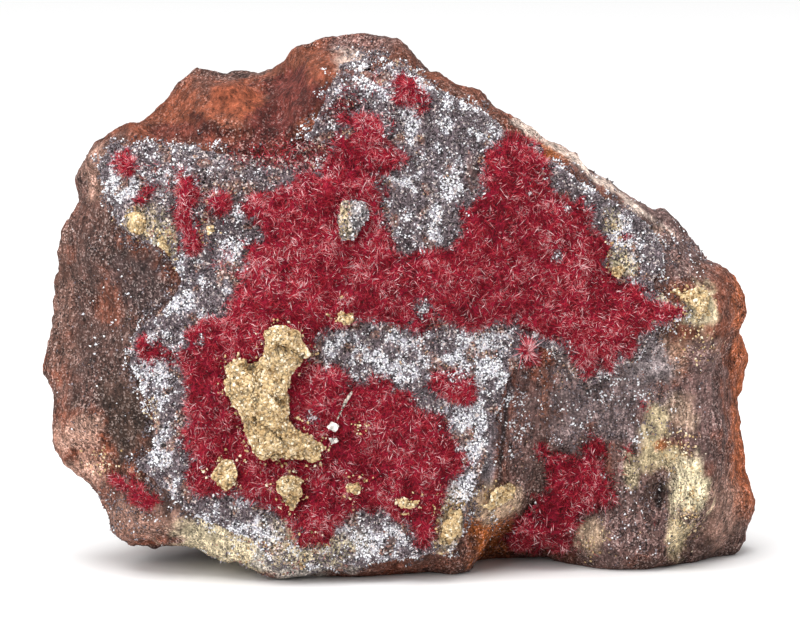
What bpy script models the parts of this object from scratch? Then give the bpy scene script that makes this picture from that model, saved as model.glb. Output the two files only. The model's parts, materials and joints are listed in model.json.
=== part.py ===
"""Chalcotrichite specimen: an iron-stained stone whose open face carries felted mats of red needles.

The stone stands on its broken base. +X runs to the right of the open face, +Y to its back and +Z up, and
the origin is on the ground under the middle of the stone. Blender's units are metres. The tables below are
in millimetres, read off the open face as it is seen from VIEW_DISTANCE away and VIEW_TILT above the level:
u runs across that view, v up it, and depth goes straight back from the front plane.
"""

import math
from functools import partial

import bmesh
import bpy
import numpy as np
from mathutils import Euler, Matrix, Vector, noise
from mathutils.bvhtree import BVHTree

MM = 0.001

# The view that the outlines were drawn in
VIEW_TILT = math.radians(8)
VIEW_DISTANCE = 700
VIEW_HEIGHT = 34

# The stone: its front plane, its thickness, and how far it is drawn in towards its back
FRONT_Y = -17
THICKNESS = 37
BACK_TAPER, TAPER_CENTRE = 0.16, (0, 14)
COARSE_VOXEL, FINE_VOXEL = 1.6, 1.25
STONE_TRIANGLES = 4050

# Its relief: broad steps and the lumps on them, of which the open face has only a share
STEP_SIZE, STEP_HEIGHT, STEP_SEED = 11.0, 1.8, 3.7
LUMP_SIZE, LUMP_HEIGHT, LUMP_OCTAVES = 7.5, 1.1, 3
FRONT_SHARE, FRONT_FACING, SIDE_FACING = 0.5, 0.87, 0.25
RIM_SPREAD, RIM_ROUNDING = 4.0, 1.3

# The coats on the open face: each lies a small gap clear of what it grew on
GAP, CUT_GAP = 0.3, 0.36
DRUSE_THICKNESS = 0.9
MAT_EDGE, MAT_CROWN, MAT_CROWN_WIDTH = 1.1, 2.0, 3.0
LUMP_EDGE, LUMP_CROWN_WIDTH = 0.8, 2.4
SWELL, SWELL_SIZE = 0.4, 5.0

# How the coats are drawn: slab, sink into what is under them, and the area of one triangle on each
COAT_DEPTH, COAT_SINK, COAT_VOXEL = 4.0, 1.5, 0.7
DRUSE_TRIANGLE_AREA, MAT_TRIANGLE_AREA, LUMP_TRIANGLE_AREA = 7.0, 4.6, 2.4
LEAST_TRIANGLES = 50
SLOPE_REACH, MOST_STEEP = 0.8, 2.2
NEAR_DEPTH, FAR_DEPTH = -30, 40
MERGE = 0.02

# Colours as red, green, blue (linear), roughness
FINISHES = {
    "ironstone": ((0.13, 0.052, 0.032), 0.9),
    "druse": ((0.33, 0.31, 0.33), 0.45),
    "chalcotrichite": ((0.32, 0.012, 0.022), 0.5),
    "ochre": ((0.55, 0.38, 0.16), 0.95),
    "calcite": ((0.8, 0.78, 0.72), 0.35),
    "greystone": ((0.36, 0.32, 0.28), 0.7),
}

# The stone's outline in the view, clockwise from the lower left corner
SILHOUETTE = [
    (-35.9, 4.6), (-37.0, 8.0), (-37.9, 10.5), (-40.6, 14.3), (-43.5, 17.3), (-44.5, 19.3), (-43.6, 22.6),
    (-43.5, 24.3), (-44.3, 25.8), (-43.8, 29.3), (-43.1, 31.4), (-43.5, 34.5), (-43.9, 37.4), (-43.3, 41.8),
    (-42.9, 44.9), (-41.0, 47.0), (-39.8, 49.9), (-38.8, 52.0), (-38.6, 53.4), (-36.5, 55.3), (-31.9, 58.0),
    (-30.3, 60.1), (-27.3, 62.8), (-26.0, 63.8), (-24.0, 64.4), (-21.3, 63.3), (-19.3, 63.3), (-17.3, 64.3),
    (-16.1, 65.6), (-15.0, 65.8), (-13.9, 67.1), (-10.0, 68.0), (-8.8, 68.4), (-3.5, 68.4), (0.0, 67.6),
    (1.6, 66.1), (2.4, 64.4), (5.6, 62.3), (8.1, 61.2), (10.5, 61.0), (14.3, 58.6), (15.1, 57.4),
    (21.3, 54.4), (25.0, 52.2), (28.1, 49.9), (31.0, 48.3), (33.1, 46.8), (37.9, 41.5), (41.9, 39.3),
    (43.3, 36.8),
    (43.6, 31.8), (43.5, 18.0), (43.9, 16.1), (44.0, 9.9), (43.8, 7.4), (42.1, 5.3), (41.3, 4.0),
    (37.3, 2.6), (36.8, 1.4), (30.0, 0.8), (24.4, 1.0), (21.9, 1.8), (19.4, 3.0), (13.1, 2.8),
    (11.3, 1.9), (3.8, 1.9), (-3.1, 0.9), (-11.3, -0.1), (-13.8, -0.4), (-17.3, 0.4), (-21.0, 2.0),
    (-24.4, 3.9), (-32.5, 3.9), (-34.4, 4.5),
]

# How far the outline lies behind the front plane, and how wide the slope to it is: u, v, set back, width
RIM = {
    "lower left corner": (-36, 5, 5, 6),
    "left lip": (-44, 19, 8, 9),
    "left side": (-44, 35, 11, 16),
    "left shoulder": (-42, 46, 9, 10),
    "upper left": (-36, 56, 6, 7),
    "crest": (-28, 62, 13, 12),
    "dip in the crest": (-20, 63, 15, 11),
    "crown": (-6, 68, 7, 7),
    "right of the crown": (2, 66, 5, 4),
    "right shoulder": (12, 60, 4, 4),
    "pale rim": (25, 51, 5, 3),
    "right corner": (40, 40, 9, 6),
    "right side": (44, 20, 19, 5.5),
    "right toe": (42, 5, 14, 6),
    "right foot": (30, 1, 4, 4),
    "arch": (16, 3, 9, 5),
    "middle of the base": (4, 2, 2, 3),
    "left foot": (-13, 0, 0.5, 3),
    "left underside": (-26, 4, 2.5, 5),
}

# Swellings and hollows of the open face: u, v, height towards the viewer, and their reach across and up
FORMS = {
    "middle swelling": (-12, 20, 1.8, 20, 22),
    "base bulge": (-14, 4, 1.6, 12, 6),
    "druse lobe": (4.5, 50, 3.0, 6.5, 10),
    "druse lobe foot": (3, 44, 1.0, 5, 3),
    "druse shoulder": (10, 59, 1.5, 7, 3),
    "right basin": (24, 41, -2.2, 12, 10),
    "upper basin": (-8, 44, -1.4, 10, 9),
    "lower basin": (-2, 16, -1.2, 9, 8),
    "right flank": (28, 18, -2.0, 12, 18),
    "red bay": (19.5, 9, -3.5, 5.5, 7),
    "cave": (10.5, 4.5, -5.0, 3.0, 4.0),
    "ochre lip": (13, 10.5, 2.6, 3.4, 2.6),
    "slot": (32.3, 10.5, -4.5, 1.6, 4.5),
    "slot's left wall": (29.5, 11.5, 1.2, 1.6, 4),
    "ridge by the slot": (37, 12, 1.2, 2.0, 9),
    "orange lump": (-20, 59.5, 4.8, 5.2, 3.2),
    "orange shelf": (-29, 59.5, 1.8, 4.5, 2.5),
    "hollow under the lump": (-16, 53.5, -2.6, 9, 2.6),
    "window pit": (-3.6, 60.6, -1.8, 1.3, 1.5),
    "left hollow": (-34.5, 19.5, -3.0, 3.4, 5.5),
    "left lip swelling": (-41.5, 19, 1.6, 3, 4),
    "left rib": (-40, 33, 0.9, 2.2, 9),
    "left hollow above": (-34, 38, -1.2, 4, 7),
}

# The ledge where the middle of the face stands out over its right half: foot and head of its edge
LEDGE_FOOT, LEDGE_HEAD = (10.3, 2.0), (15.3, 31.0)
LEDGE_DROP, LEDGE_WIDTH, LEDGE_FADE = 3.6, 1.6, 5.0

# Upright grooves: middle u and v, reach across and up, spacing and depth
GROOVES = {
    "right flank": (24, 22, 12, 12, 2.3, 0.45),
    "left side": (-38, 32, 7, 18, 2.8, 0.35),
    "right side": (42, 20, 4, 20, 1.9, 0.4),
}

# Flat breaks that shape the back and the sides: a point on each and the way it faces
BREAKS = {
    "back": ((0, 18.5, 30), (-0.10, 0.99, 0.06)),
    "back left": ((-36, 6, 28), (-0.72, 0.66, 0.10)),
    "back right": ((35, 13, 24), (0.66, 0.74, 0.05)),
    "back top": ((-4, 11, 52), (0.08, 0.72, 0.69)),
    "back upper left": ((-19, 16.5, 42), (-0.38, 0.88, 0.28)),
    "back lower right": ((22, 17.5, 17), (0.22, 0.94, -0.25)),
    "back middle": ((4, 18.5, 33), (0.16, 0.98, 0.10)),
    "back foot": ((6, 17, 7), (0.10, 0.80, -0.59)),
    "left shoulder": ((-34, 2, 52), (-0.62, 0.38, 0.68)),
    "right shoulder": ((31, 7, 44), (0.50, 0.42, 0.76)),
    "crest": ((-24, 4, 58), (-0.22, 0.55, 0.80)),
    "left foot": ((-32, 10, 8), (-0.62, 0.50, -0.60)),
}

# The druse lining of the open face
DRUSE_OUTLINE = [
    (-37.0, 53.6), (-36.0, 54.9), (-32.5, 54.9), (-25.0, 54.6), (-20.0, 53.6), (-14.5, 53.4), (-11.9, 55.5),
    (-10.3, 58.0), (-9.4, 60.5), (-8.1, 63.1), (-6.9, 65.0), (-2.5, 65.9), (0.3, 65.2), (1.6, 63.8),
    (4.8, 61.7), (7.6, 60.3), (9.6, 59.8), (12.4, 57.4), (13.8, 55.7), (20.0, 52.3), (25.0, 48.7),
    (31.0, 45.2), (32.9, 42.6), (33.3, 39.8), (31.5, 36.8), (36.6, 34.2), (36.4, 33.4), (32.5, 31.6),
    (30.4, 28.0), (26.5, 25.6), (23.4, 23.9), (21.0, 26.4), (18.0, 29.6), (15.2, 28.0), (13.6, 25.0),
    (12.2, 20.5), (11.6, 16.8), (10.2, 13.0), (8.8, 10.0), (8.2, 6.0), (6.6, 3.4), (-2.5, 2.2),
    (-11.3, 1.2), (-15.5, 1.6), (-18.5, 5.0), (-25.5, 8.0), (-28.0, 9.8), (-31.5, 13.2), (-33.4, 14.8),
    (-31.0, 16.5), (-30.6, 19.5), (-32.0, 23.5), (-33.8, 27.0), (-33.9, 29.8), (-31.8, 32.8), (-28.6, 35.4),
    (-27.2, 38.0), (-29.2, 41.5), (-32.5, 42.6), (-35.2, 44.5), (-36.4, 48.5), (-37.6, 51.5),
]

# The large mat of needles is one felt that grew together from four fields
MAIN_MAT_FIELDS = [
    [
        (-20.0, 36.5), (-18.8, 41.8), (-16.8, 44.3), (-20.0, 46.8), (-18.5, 48.5), (-13.8, 49.3),
        (-12.5, 51.3), (-9.4, 51.5), (-8.4, 54.5), (-7.8, 58.3), (-4.8, 59.1), (-3.0, 57.8), (-0.1, 57.3),
        (-1.8, 54.8), (1.5, 53.0), (0.0, 51.8), (-2.1, 51.1), (-2.3, 47.4), (-1.1, 43.0), (0.3, 40.3),
        (3.1, 41.9), (6.5, 41.6), (7.9, 44.0), (7.8, 46.6), (11.3, 47.4), (12.5, 40.5), (12.5, 33.3),
        (8.8, 31.1), (5.0, 33.0), (2.5, 31.4), (-1.0, 32.5), (-5.0, 32.8), (-8.8, 31.5), (-11.0, 29.3),
        (-12.5, 31.8), (-17.3, 32.4),
    ],
    [
        (9.8, 48.0), (10.5, 53.0), (12.8, 55.5), (15.0, 56.2), (17.8, 54.6), (18.5, 52.4), (18.8, 49.0),
        (21.5, 47.6), (24.6, 47.4), (24.0, 44.5), (26.5, 42.0), (25.8, 39.5), (30.0, 37.3), (31.9, 35.5),
        (35.8, 33.9), (33.5, 32.4), (30.0, 31.6), (29.4, 28.8), (26.5, 26.5), (25.0, 27.8), (23.5, 24.8),
        (21.9, 27.0), (21.3, 29.3), (18.1, 31.0), (14.4, 32.8), (10.6, 31.8), (8.8, 36.8), (9.8, 43.0),
    ],
    [
        (-16.8, 33.5), (-20.0, 37.2), (-21.5, 34.0), (-24.4, 33.0), (-26.8, 31.0), (-27.4, 28.3),
        (-26.6, 24.9), (-27.1, 20.5), (-26.9, 17.4), (-25.9, 14.5), (-27.1, 12.4), (-25.0, 10.8),
        (-18.8, 10.6), (-17.3, 9.1), (-14.5, 8.5), (-12.8, 4.8), (-8.8, 4.6), (-6.9, 7.8), (-6.3, 13.0),
        (-7.5, 18.0), (-10.8, 23.0), (-11.2, 29.8),
    ],
    [
        (-13.4, 25.8), (-11.9, 26.9), (-7.5, 27.1), (-6.0, 24.8), (-3.1, 26.3), (-0.3, 24.3), (1.5, 22.8),
        (2.5, 21.3), (5.0, 20.3), (6.9, 18.3), (8.5, 15.5), (7.9, 13.5), (5.8, 11.8), (5.3, 8.0),
        (3.8, 4.5), (2.3, 3.5), (1.0, 6.8), (-1.9, 9.5), (-6.0, 9.0), (-8.6, 5.2), (-12.5, 10.5),
        (-13.5, 20.5),
    ],
]

# Each mat is a felt of its own, of one or more fields
MATS = {
    "mat_main": MAIN_MAT_FIELDS,
    "mat_window": [[
        (4.6, 26.8), (6.5, 26.5), (7.3, 25.5), (9.4, 25.5), (9.8, 23.3), (8.8, 21.6), (6.9, 23.0),
        (4.9, 23.3), (3.9, 24.3), (4.0, 25.8),
    ]],
    "mat_crown": [[
        (-0.3, 63.4), (1.3, 63.6), (2.5, 62.4), (3.5, 61.2), (3.8, 59.5), (3.0, 58.3), (2.3, 59.7),
        (0.3, 59.5), (-1.3, 60.0), (-0.5, 61.5),
    ]],
    "mat_west": [[
        (-31.8, 31.6), (-31.0, 30.3), (-28.9, 29.2), (-28.2, 28.9), (-28.6, 27.8), (-31.3, 27.3),
        (-32.8, 28.3), (-32.9, 29.9),
    ]],
    "mat_north_west_spot": [[
        (-35.7, 53.2), (-34.0, 53.6), (-32.5, 52.4), (-32.8, 51.1), (-34.8, 50.5), (-35.5, 51.5),
    ]],
    "mat_north_west_strip": [[
        (-27.1, 50.8), (-25.0, 51.1), (-24.9, 49.3), (-25.5, 47.4), (-25.0, 44.9), (-24.8, 42.0),
        (-25.6, 40.5), (-27.1, 41.8), (-27.8, 43.6), (-27.8, 46.1), (-28.1, 48.6),
    ]],
    "mat_north_west_streak": [[
        (-31.5, 49.5), (-30.4, 49.0), (-32.1, 47.2), (-33.2, 46.9), (-32.8, 48.0),
    ]],
    "mat_north_blush": [[
        (-24.0, 48.5), (-21.5, 49.3), (-20.8, 48.0), (-21.2, 46.0), (-23.4, 46.0), (-24.2, 47.0),
    ]],
    "mat_spray": [[(15.0, 28.9), (16.2, 30.3), (17.8, 29.4), (17.4, 27.3), (15.9, 26.9)]],
    "mat_base_right": [[
        (17.1, 18.3), (19.0, 16.0), (22.5, 16.0), (25.3, 18.5), (26.0, 16.0), (25.3, 14.0), (26.5, 12.8),
        (26.8, 10.8), (28.4, 10.0), (24.5, 8.8), (22.3, 7.0), (21.5, 4.9), (21.0, 3.4), (18.5, 4.0),
        (14.4, 4.0), (13.2, 4.8), (14.6, 7.0), (16.2, 9.0), (18.1, 10.8), (18.8, 13.3), (17.5, 15.5),
    ]],
    "mat_base_left": [[
        (-36.9, 13.6), (-34.6, 13.7), (-32.8, 12.4), (-31.0, 11.4), (-29.6, 10.2), (-31.0, 9.0),
        (-32.8, 9.3), (-34.0, 10.6), (-36.0, 12.2),
    ]],
}

# Lumps that sit on the mats, the druse and the stone: crown height, then the outline
OCHRE_LUMPS = {
    "ochre_large": (2.6, [
        (-17.3, 31.5), (-15.0, 32.6), (-12.3, 31.8), (-12.0, 30.0), (-10.5, 28.8), (-11.3, 27.3),
        (-13.0, 26.8), (-13.4, 24.3), (-13.3, 20.0), (-10.5, 18.5), (-8.9, 16.8), (-10.0, 14.5),
        (-12.8, 15.3), (-15.0, 14.9), (-17.3, 14.8), (-18.5, 16.0), (-19.3, 18.0), (-20.5, 21.5),
        (-22.3, 24.3), (-22.3, 27.0), (-21.0, 28.5), (-18.8, 28.3), (-17.9, 27.3), (-17.0, 29.3),
    ]),
    "ochre_south_west": (2.2, [
        (-23.4, 14.9), (-21.9, 15.8), (-20.0, 15.3), (-19.8, 13.3), (-20.5, 11.8), (-21.5, 10.9),
        (-23.1, 12.0), (-23.8, 13.3),
    ]),
    "ochre_south": (2.2, [
        (-15.6, 13.0), (-13.8, 13.8), (-12.0, 13.3), (-11.5, 11.5), (-12.5, 10.3), (-12.8, 8.3),
        (-14.0, 8.8), (-14.5, 10.3), (-15.5, 11.3),
    ]),
    "ochre_south_east": (2.0, [
        (-7.0, 12.5), (-5.5, 13.3), (-4.4, 12.3), (-4.5, 10.8), (-6.0, 10.4), (-7.0, 11.3),
    ]),
    "ochre_base": (1.9, [(-0.6, 10.3), (1.0, 10.9), (3.0, 10.5), (2.8, 9.3), (1.0, 8.8), (-0.4, 9.3)]),
    "ochre_bead": (2.2, [(-7.9, 33.6), (-6.8, 34.5), (-5.4, 33.8), (-5.3, 32.8), (-6.5, 32.0), (-7.8, 32.5)]),
    "ochre_north_west": (1.6, [
        (-34.2, 46.0), (-33.4, 46.5), (-31.7, 46.3), (-31.1, 44.5), (-32.3, 43.2), (-34.0, 43.7),
    ]),
    "ochre_north_west_streak": (1.3, [
        (-31.0, 43.2), (-29.4, 43.4), (-28.5, 42.2), (-28.0, 40.2), (-29.0, 40.6), (-30.4, 41.8),
    ]),
    "ochre_north": (1.5, [(-24.2, 45.3), (-23.3, 45.5), (-22.7, 43.9), (-23.6, 43.0), (-24.3, 44.0)]),
    "ochre_east_crumb": (1.5, [(26.2, 39.5), (27.8, 40.3), (28.8, 39.0), (27.8, 37.7), (26.2, 38.0)]),
    "ochre_foot": (1.4, [
        (5.8, 9.0), (7.4, 9.6), (8.3, 8.6), (8.0, 6.4), (7.0, 4.4), (5.6, 3.8), (4.7, 4.4), (5.0, 6.3),
    ]),
    "ochre_east": (1.6, [
        (34.2, 37.6), (35.4, 36.4), (37.5, 37.4), (39.0, 36.6), (39.3, 34.9), (38.2, 33.2), (37.5, 32.6),
        (36.6, 32.9), (36.9, 34.4), (35.2, 35.4), (33.9, 36.2),
    ]),
    "ochre_lip": (1.5, [
        (10.9, 10.4), (12.3, 12.1), (14.0, 12.7), (14.9, 11.7), (14.3, 10.0), (12.3, 8.9), (10.9, 8.8),
        (10.2, 9.4),
    ]),
}

STONE_CHIPS = {
    "stone_chip": (2.8, [
        (-7.5, 47.3), (-6.0, 48.3), (-4.3, 47.8), (-3.5, 46.1), (-4.4, 44.5), (-5.3, 43.0), (-7.3, 42.6),
        (-7.8, 44.5),
    ]),
}

# Loose-looking crystals caught in the lower mat: spot in the view, size and turn
WHITE_GRAINS = {
    "white_grain_upper": ((-8.3, 19.6), (1.4, 1.1, 1.2), (0.3, 0.5, 0.4)),
    "white_grain_lower": ((-8.2, 17.9), (1.2, 1.0, 0.9), (0.5, -0.4, 0.2)),
}
SLIVER_SPOT, SLIVER_LENGTH, SLIVER_WIDTH, SLIVER_TURN = (-6.9, 22.2), 4.2, 0.8, (0.12, 0.52, 0)
CRYSTAL_LIFT = 0.25


def from_view(point):
    """Where in the model, in metres, a point of the view at (u, depth, v) lies."""
    u, depth, v = point
    upright = v / math.cos(VIEW_TILT)
    spread = depth / VIEW_DISTANCE
    x = u * (1 + spread)
    z = upright + (upright - VIEW_HEIGHT) * spread - depth * math.tan(VIEW_TILT)
    return Vector((x, FRONT_Y + depth, z)) * MM


def to_view(place):
    """The (u, depth, v) in millimetres of a point of the model: from_view backwards."""
    x, y, z = (value / MM for value in place)
    depth = y - FRONT_Y
    spread = depth / VIEW_DISTANCE
    upright = (z + depth * math.tan(VIEW_TILT) + VIEW_HEIGHT * spread) / (1 + spread)
    return x / (1 + spread), depth, upright * math.cos(VIEW_TILT)


def smooth_step(share):
    """Eases from 0 to 1 as the share does."""
    share = np.clip(share, 0, 1)
    return share * share * (3 - 2 * share)


def depth_inside(outline, u, v):
    """How far each point (u, v) lies inside the closed outline; outside it is negative."""
    points = np.array(outline, float)
    ends = np.roll(points, -1, axis=0)
    nearest = np.full(len(u), 1e9)
    inside = np.zeros(len(u), bool)
    for (a, b), (c, d) in zip(points, ends):
        length = max((c - a) ** 2 + (d - b) ** 2, 1e-9)
        along = np.clip(((u - a) * (c - a) + (v - b) * (d - b)) / length, 0, 1)
        away = np.hypot(u - a - along * (c - a), v - b - along * (d - b))
        nearest = np.minimum(nearest, away)
        if b != d:
            crosses = ((b > v) != (d > v)) & (u < (c - a) * (v - b) / (d - b) + a)
            inside ^= crosses
    return np.where(inside, nearest, -nearest)


def rim_at(u, v):
    """Set back and slope width of the rim nearest to each point, blended between the named spots."""
    spots = np.array(list(RIM.values()), float)
    distance = (u[:, None] - spots[:, 0]) ** 2 + (v[:, None] - spots[:, 1]) ** 2
    weight = 1 / (distance + RIM_SPREAD) ** 2
    weight /= weight.sum(axis=1, keepdims=True)
    return weight @ spots[:, 2], weight @ spots[:, 3]


def ledge(u, v):
    """How far the face drops back to the right of the ledge's edge."""
    (foot_u, foot_v), (head_u, head_v) = LEDGE_FOOT, LEDGE_HEAD
    edge_u = foot_u + (head_u - foot_u) * (v - foot_v) / (head_v - foot_v)
    below_head = 1 - smooth_step((v - head_v + LEDGE_FADE) / LEDGE_FADE)
    return LEDGE_DROP * smooth_step((u - edge_u) / LEDGE_WIDTH + 0.5) * below_head


def grooves(u, v):
    """How deep the upright grooves cut the face; they wander a little from side to side."""
    total = np.zeros(len(u))
    for middle_u, middle_v, reach_u, reach_v, spacing, cut in GROOVES.values():
        fade = np.exp(-(((u - middle_u) / reach_u) ** 2 + ((v - middle_v) / reach_v) ** 2) ** 2)
        wander = 1.2 * np.sin(v / 5.0 + u / 7.0) + 0.5 * np.sin(v / 1.9 + u)
        total += cut * fade * np.sin(2 * math.pi * (u + wander) / spacing)
    return total


def front_depth(u, v):
    """Depth of the open face behind the front plane, in millimetres."""
    set_back, width = rim_at(u, v)
    inside = np.maximum(depth_inside(SILHOUETTE, u, v), 0)
    slope = (1 - smooth_step(inside / width)) ** RIM_ROUNDING
    depth = set_back * slope + ledge(u, v) + grooves(u, v)
    for middle_u, middle_v, height, reach_u, reach_v in FORMS.values():
        depth -= height * np.exp(-(((u - middle_u) / reach_u) ** 2) - ((v - middle_v) / reach_v) ** 2)
    return depth


def taper_to_back(u, v, share):
    """Draws the stone in towards its back, as a share of its thickness."""
    centre_u, centre_v = TAPER_CENTRE
    scale = 1 - BACK_TAPER * smooth_step(share)
    return centre_u + (u - centre_u) * scale, centre_v + (v - centre_v) * scale


def collection_of(name):
    """The collection of a name, made the first time that it is asked for."""
    found = bpy.data.collections.get(name)
    if found is None:
        found = bpy.data.collections.new(name)
        bpy.context.scene.collection.children.link(found)
    return found


def finish_of(name):
    """The material of a finish, made the first time that it is asked for."""
    found = bpy.data.materials.get(name)
    if found is None:
        colour, roughness = FINISHES[name]
        found = bpy.data.materials.new(name)
        found.use_nodes = True
        shader = found.node_tree.nodes["Principled BSDF"]
        shader.inputs["Base Color"].default_value = (*colour, 1)
        shader.inputs["Roughness"].default_value = roughness
        found.diffuse_color = (*colour, 1)
    return found


def add_object(name, mesh, finish=None):
    """A piece of the specimen or, with no finish, a cutter that a render leaves out."""
    made = bpy.data.objects.new(name, mesh)
    if finish is None:
        made.hide_render = True
        made.display_type = "WIRE"
        collection_of("cutters").objects.link(made)
    else:
        mesh.materials.clear()
        mesh.materials.append(finish_of(finish))
        collection_of("chalcotrichite_specimen").objects.link(made)
    return made


def evaluated_mesh(source):
    """A new mesh of an object as its modifiers or its curve settings shape it."""
    graph = bpy.context.evaluated_depsgraph_get()
    return bpy.data.meshes.new_from_object(source.evaluated_get(graph))


def outline_prism(name, outlines, depth):
    """The mesh, in view millimetres (u, depth, v), of outlines drawn straight back from the front plane."""
    shaped = bmesh.new()
    for outline in outlines:
        curve = bpy.data.curves.new(name, "CURVE")
        curve.dimensions = "2D"
        curve.fill_mode = "BOTH"
        curve.extrude = depth / 2
        spline = curve.splines.new("POLY")
        spline.points.add(len(outline) - 1)
        for point, (u, v) in zip(spline.points, outline):
            point.co = (u, v, 0, 1)
        spline.use_cyclic_u = True
        drawn = bpy.data.objects.new(name, curve)
        bpy.context.scene.collection.objects.link(drawn)
        shaped.from_mesh(evaluated_mesh(drawn))
        bpy.data.objects.remove(drawn)
        bpy.data.curves.remove(curve)
    bmesh.ops.remove_doubles(shaped, verts=shaped.verts, dist=0.001)
    for vert in shaped.verts:
        vert.co = Vector((vert.co.x, depth / 2 - vert.co.z, vert.co.y))
    bmesh.ops.recalc_face_normals(shaped, faces=shaped.faces)
    mesh = bpy.data.meshes.new(name)
    shaped.to_mesh(mesh)
    shaped.free()
    return mesh


def apply_modifiers(target):
    """Replaces an object's mesh with what its modifiers make of it, in the one finish that it had."""
    finish = target.data.materials[0]
    shaped = evaluated_mesh(target)
    target.modifiers.clear()
    target.data = shaped
    shaped.materials.clear()
    shaped.materials.append(finish)
    return shaped


def remesh(target, voxel):
    """Joins whatever overlaps in an object and gives it even faces."""
    modifier = target.modifiers.new("even mesh", "REMESH")
    modifier.mode = "VOXEL"
    modifier.voxel_size = voxel
    return apply_modifiers(target)


def thin_out(target, triangles):
    """Collapses edges until about this many triangles are left."""
    target.data.calc_loop_triangles()
    modifier = target.modifiers.new("fewer faces", "DECIMATE")
    modifier.ratio = min(1, triangles / len(target.data.loop_triangles))
    return apply_modifiers(target)


def move_points(mesh, place):
    """Moves every point of a mesh to what place makes of the whole array of them."""
    points = np.empty(len(mesh.vertices) * 3, np.float32)
    mesh.vertices.foreach_get("co", points)
    moved = place(points.reshape(-1, 3).astype(float))
    mesh.vertices.foreach_set("co", moved.astype(np.float32).ravel())
    mesh.update()


def cut_flat(mesh, point, facing):
    """Cuts off what lies beyond a plane and closes the cut with a flat face."""
    shaped = bmesh.new()
    shaped.from_mesh(mesh)
    whole = [*shaped.verts, *shaped.edges, *shaped.faces]
    cut = bmesh.ops.bisect_plane(
        shaped, geom=whole, dist=1e-7, plane_co=point, plane_no=facing, clear_outer=True
    )
    rim = [edge for edge in cut["geom_cut"] if isinstance(edge, bmesh.types.BMEdge)]
    bmesh.ops.holes_fill(shaped, edges=rim)
    shaped.to_mesh(mesh)
    shaped.free()


def drop_crumbs(mesh):
    """Removes whatever a cut has parted from the largest body of a mesh, or left on it by one edge."""
    shaped = bmesh.new()
    shaped.from_mesh(mesh)
    shaped.faces.ensure_lookup_table()
    unseen = set(shaped.faces)
    bodies = []
    while unseen:
        front = [unseen.pop()]
        body = list(front)
        while front:
            face = front.pop()
            sound_edges = [edge for edge in face.edges if len(edge.link_faces) == 2]
            for neighbour in {other for edge in sound_edges for other in edge.link_faces} & unseen:
                unseen.remove(neighbour)
                front.append(neighbour)
                body.append(neighbour)
        bodies.append(body)
    bodies.sort(key=len)
    crumbs = [face for body in bodies[:-1] for face in body]
    bmesh.ops.delete(shaped, geom=crumbs, context="FACES")
    bmesh.ops.triangulate(shaped, faces=shaped.faces)
    bmesh.ops.dissolve_degenerate(shaped, edges=shaped.edges, dist=MERGE * MM)
    shaped.to_mesh(mesh)
    shaped.free()


def rock_relief(place):
    """Height in millimetres of the broken rock's relief at a place: a few broad steps, and lumps on them."""
    middle_of_step = noise.voronoi(place / STEP_SIZE)[1][0]
    step = noise.noise(middle_of_step * STEP_SEED)
    lumps = noise.fractal(place / LUMP_SIZE, 1.0, 2.0, LUMP_OCTAVES)
    return STEP_HEIGHT * step + LUMP_HEIGHT * lumps


def roughened(points, normals):
    """Points moved along their normals by the rock's relief, less on the open face."""
    moved = points / MM
    frontness = smooth_step((-normals[:, 1] - SIDE_FACING) / (FRONT_FACING - SIDE_FACING))
    shares = 1 - (1 - FRONT_SHARE) * frontness
    for index, (normal, share) in enumerate(zip(normals, shares)):
        moved[index] += normal * share * rock_relief(Vector(moved[index]))
    return moved * MM


def make_stone():
    """The host stone: its outline drawn through, shaped front and back, broken flat and roughened."""
    slab = outline_prism("matrix", [SILHOUETTE], THICKNESS)
    stone = add_object("matrix", slab, "ironstone")
    remesh(stone, COARSE_VOXEL)

    def shape(points):
        u, share, v = points[:, 0], points[:, 1] / THICKNESS, points[:, 2]
        depth = front_depth(u, v) * (1 - share) + THICKNESS * share
        tapered_u, tapered_v = taper_to_back(u, v, share)
        return np.array([from_view(point) for point in zip(tapered_u, depth, tapered_v)])

    move_points(stone.data, shape)
    for point, facing in BREAKS.values():
        cut_flat(stone.data, Vector(point) * MM, Vector(facing).normalized())
    mesh = remesh(stone, FINE_VOXEL * MM)
    normals = np.empty(len(mesh.vertices) * 3, np.float32)
    mesh.vertices.foreach_get("normal", normals)
    move_points(mesh, lambda points: roughened(points, normals.reshape(-1, 3)))
    mesh = thin_out(stone, STONE_TRIANGLES)
    cut_flat(mesh, Vector((0, 0, 0)), Vector((0, 0, -1)))
    drop_crumbs(mesh)
    return stone


def inside_any(outlines, u, v):
    """How far each point lies inside the outlines taken together."""
    return np.max([depth_inside(outline, u, v) for outline in outlines], axis=0)


def mat_thickness(outlines, u, v):
    """A mat is thin at its edge and crowned inwards."""
    crowned = smooth_step(inside_any(outlines, u, v) / MAT_CROWN_WIDTH)
    return MAT_EDGE + (MAT_CROWN - MAT_EDGE) * crowned


def highest_mat_under(outline):
    """How far the mats stand above the lining at the highest point under a lump's outline."""
    corners = np.array(outline)
    middle = corners.mean(axis=0)
    u, v = np.concatenate([corners, (corners + middle) / 2, [middle]]).T
    heights = [0.0]
    for outlines in MATS.values():
        on_mat = inside_any(outlines, u, v) > 0
        heights.extend(GAP + mat_thickness(outlines, u, v)[on_mat])
    return max(heights)


def lump_thickness(outline, crown, u, v):
    """A lump stands on whatever mat is under it, and is rounded up from its edge to its crown."""
    rounded = np.sqrt(smooth_step(depth_inside(outline, u, v) / LUMP_CROWN_WIDTH))
    return highest_mat_under(outline) + LUMP_EDGE + (crown - LUMP_EDGE) * rounded


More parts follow.
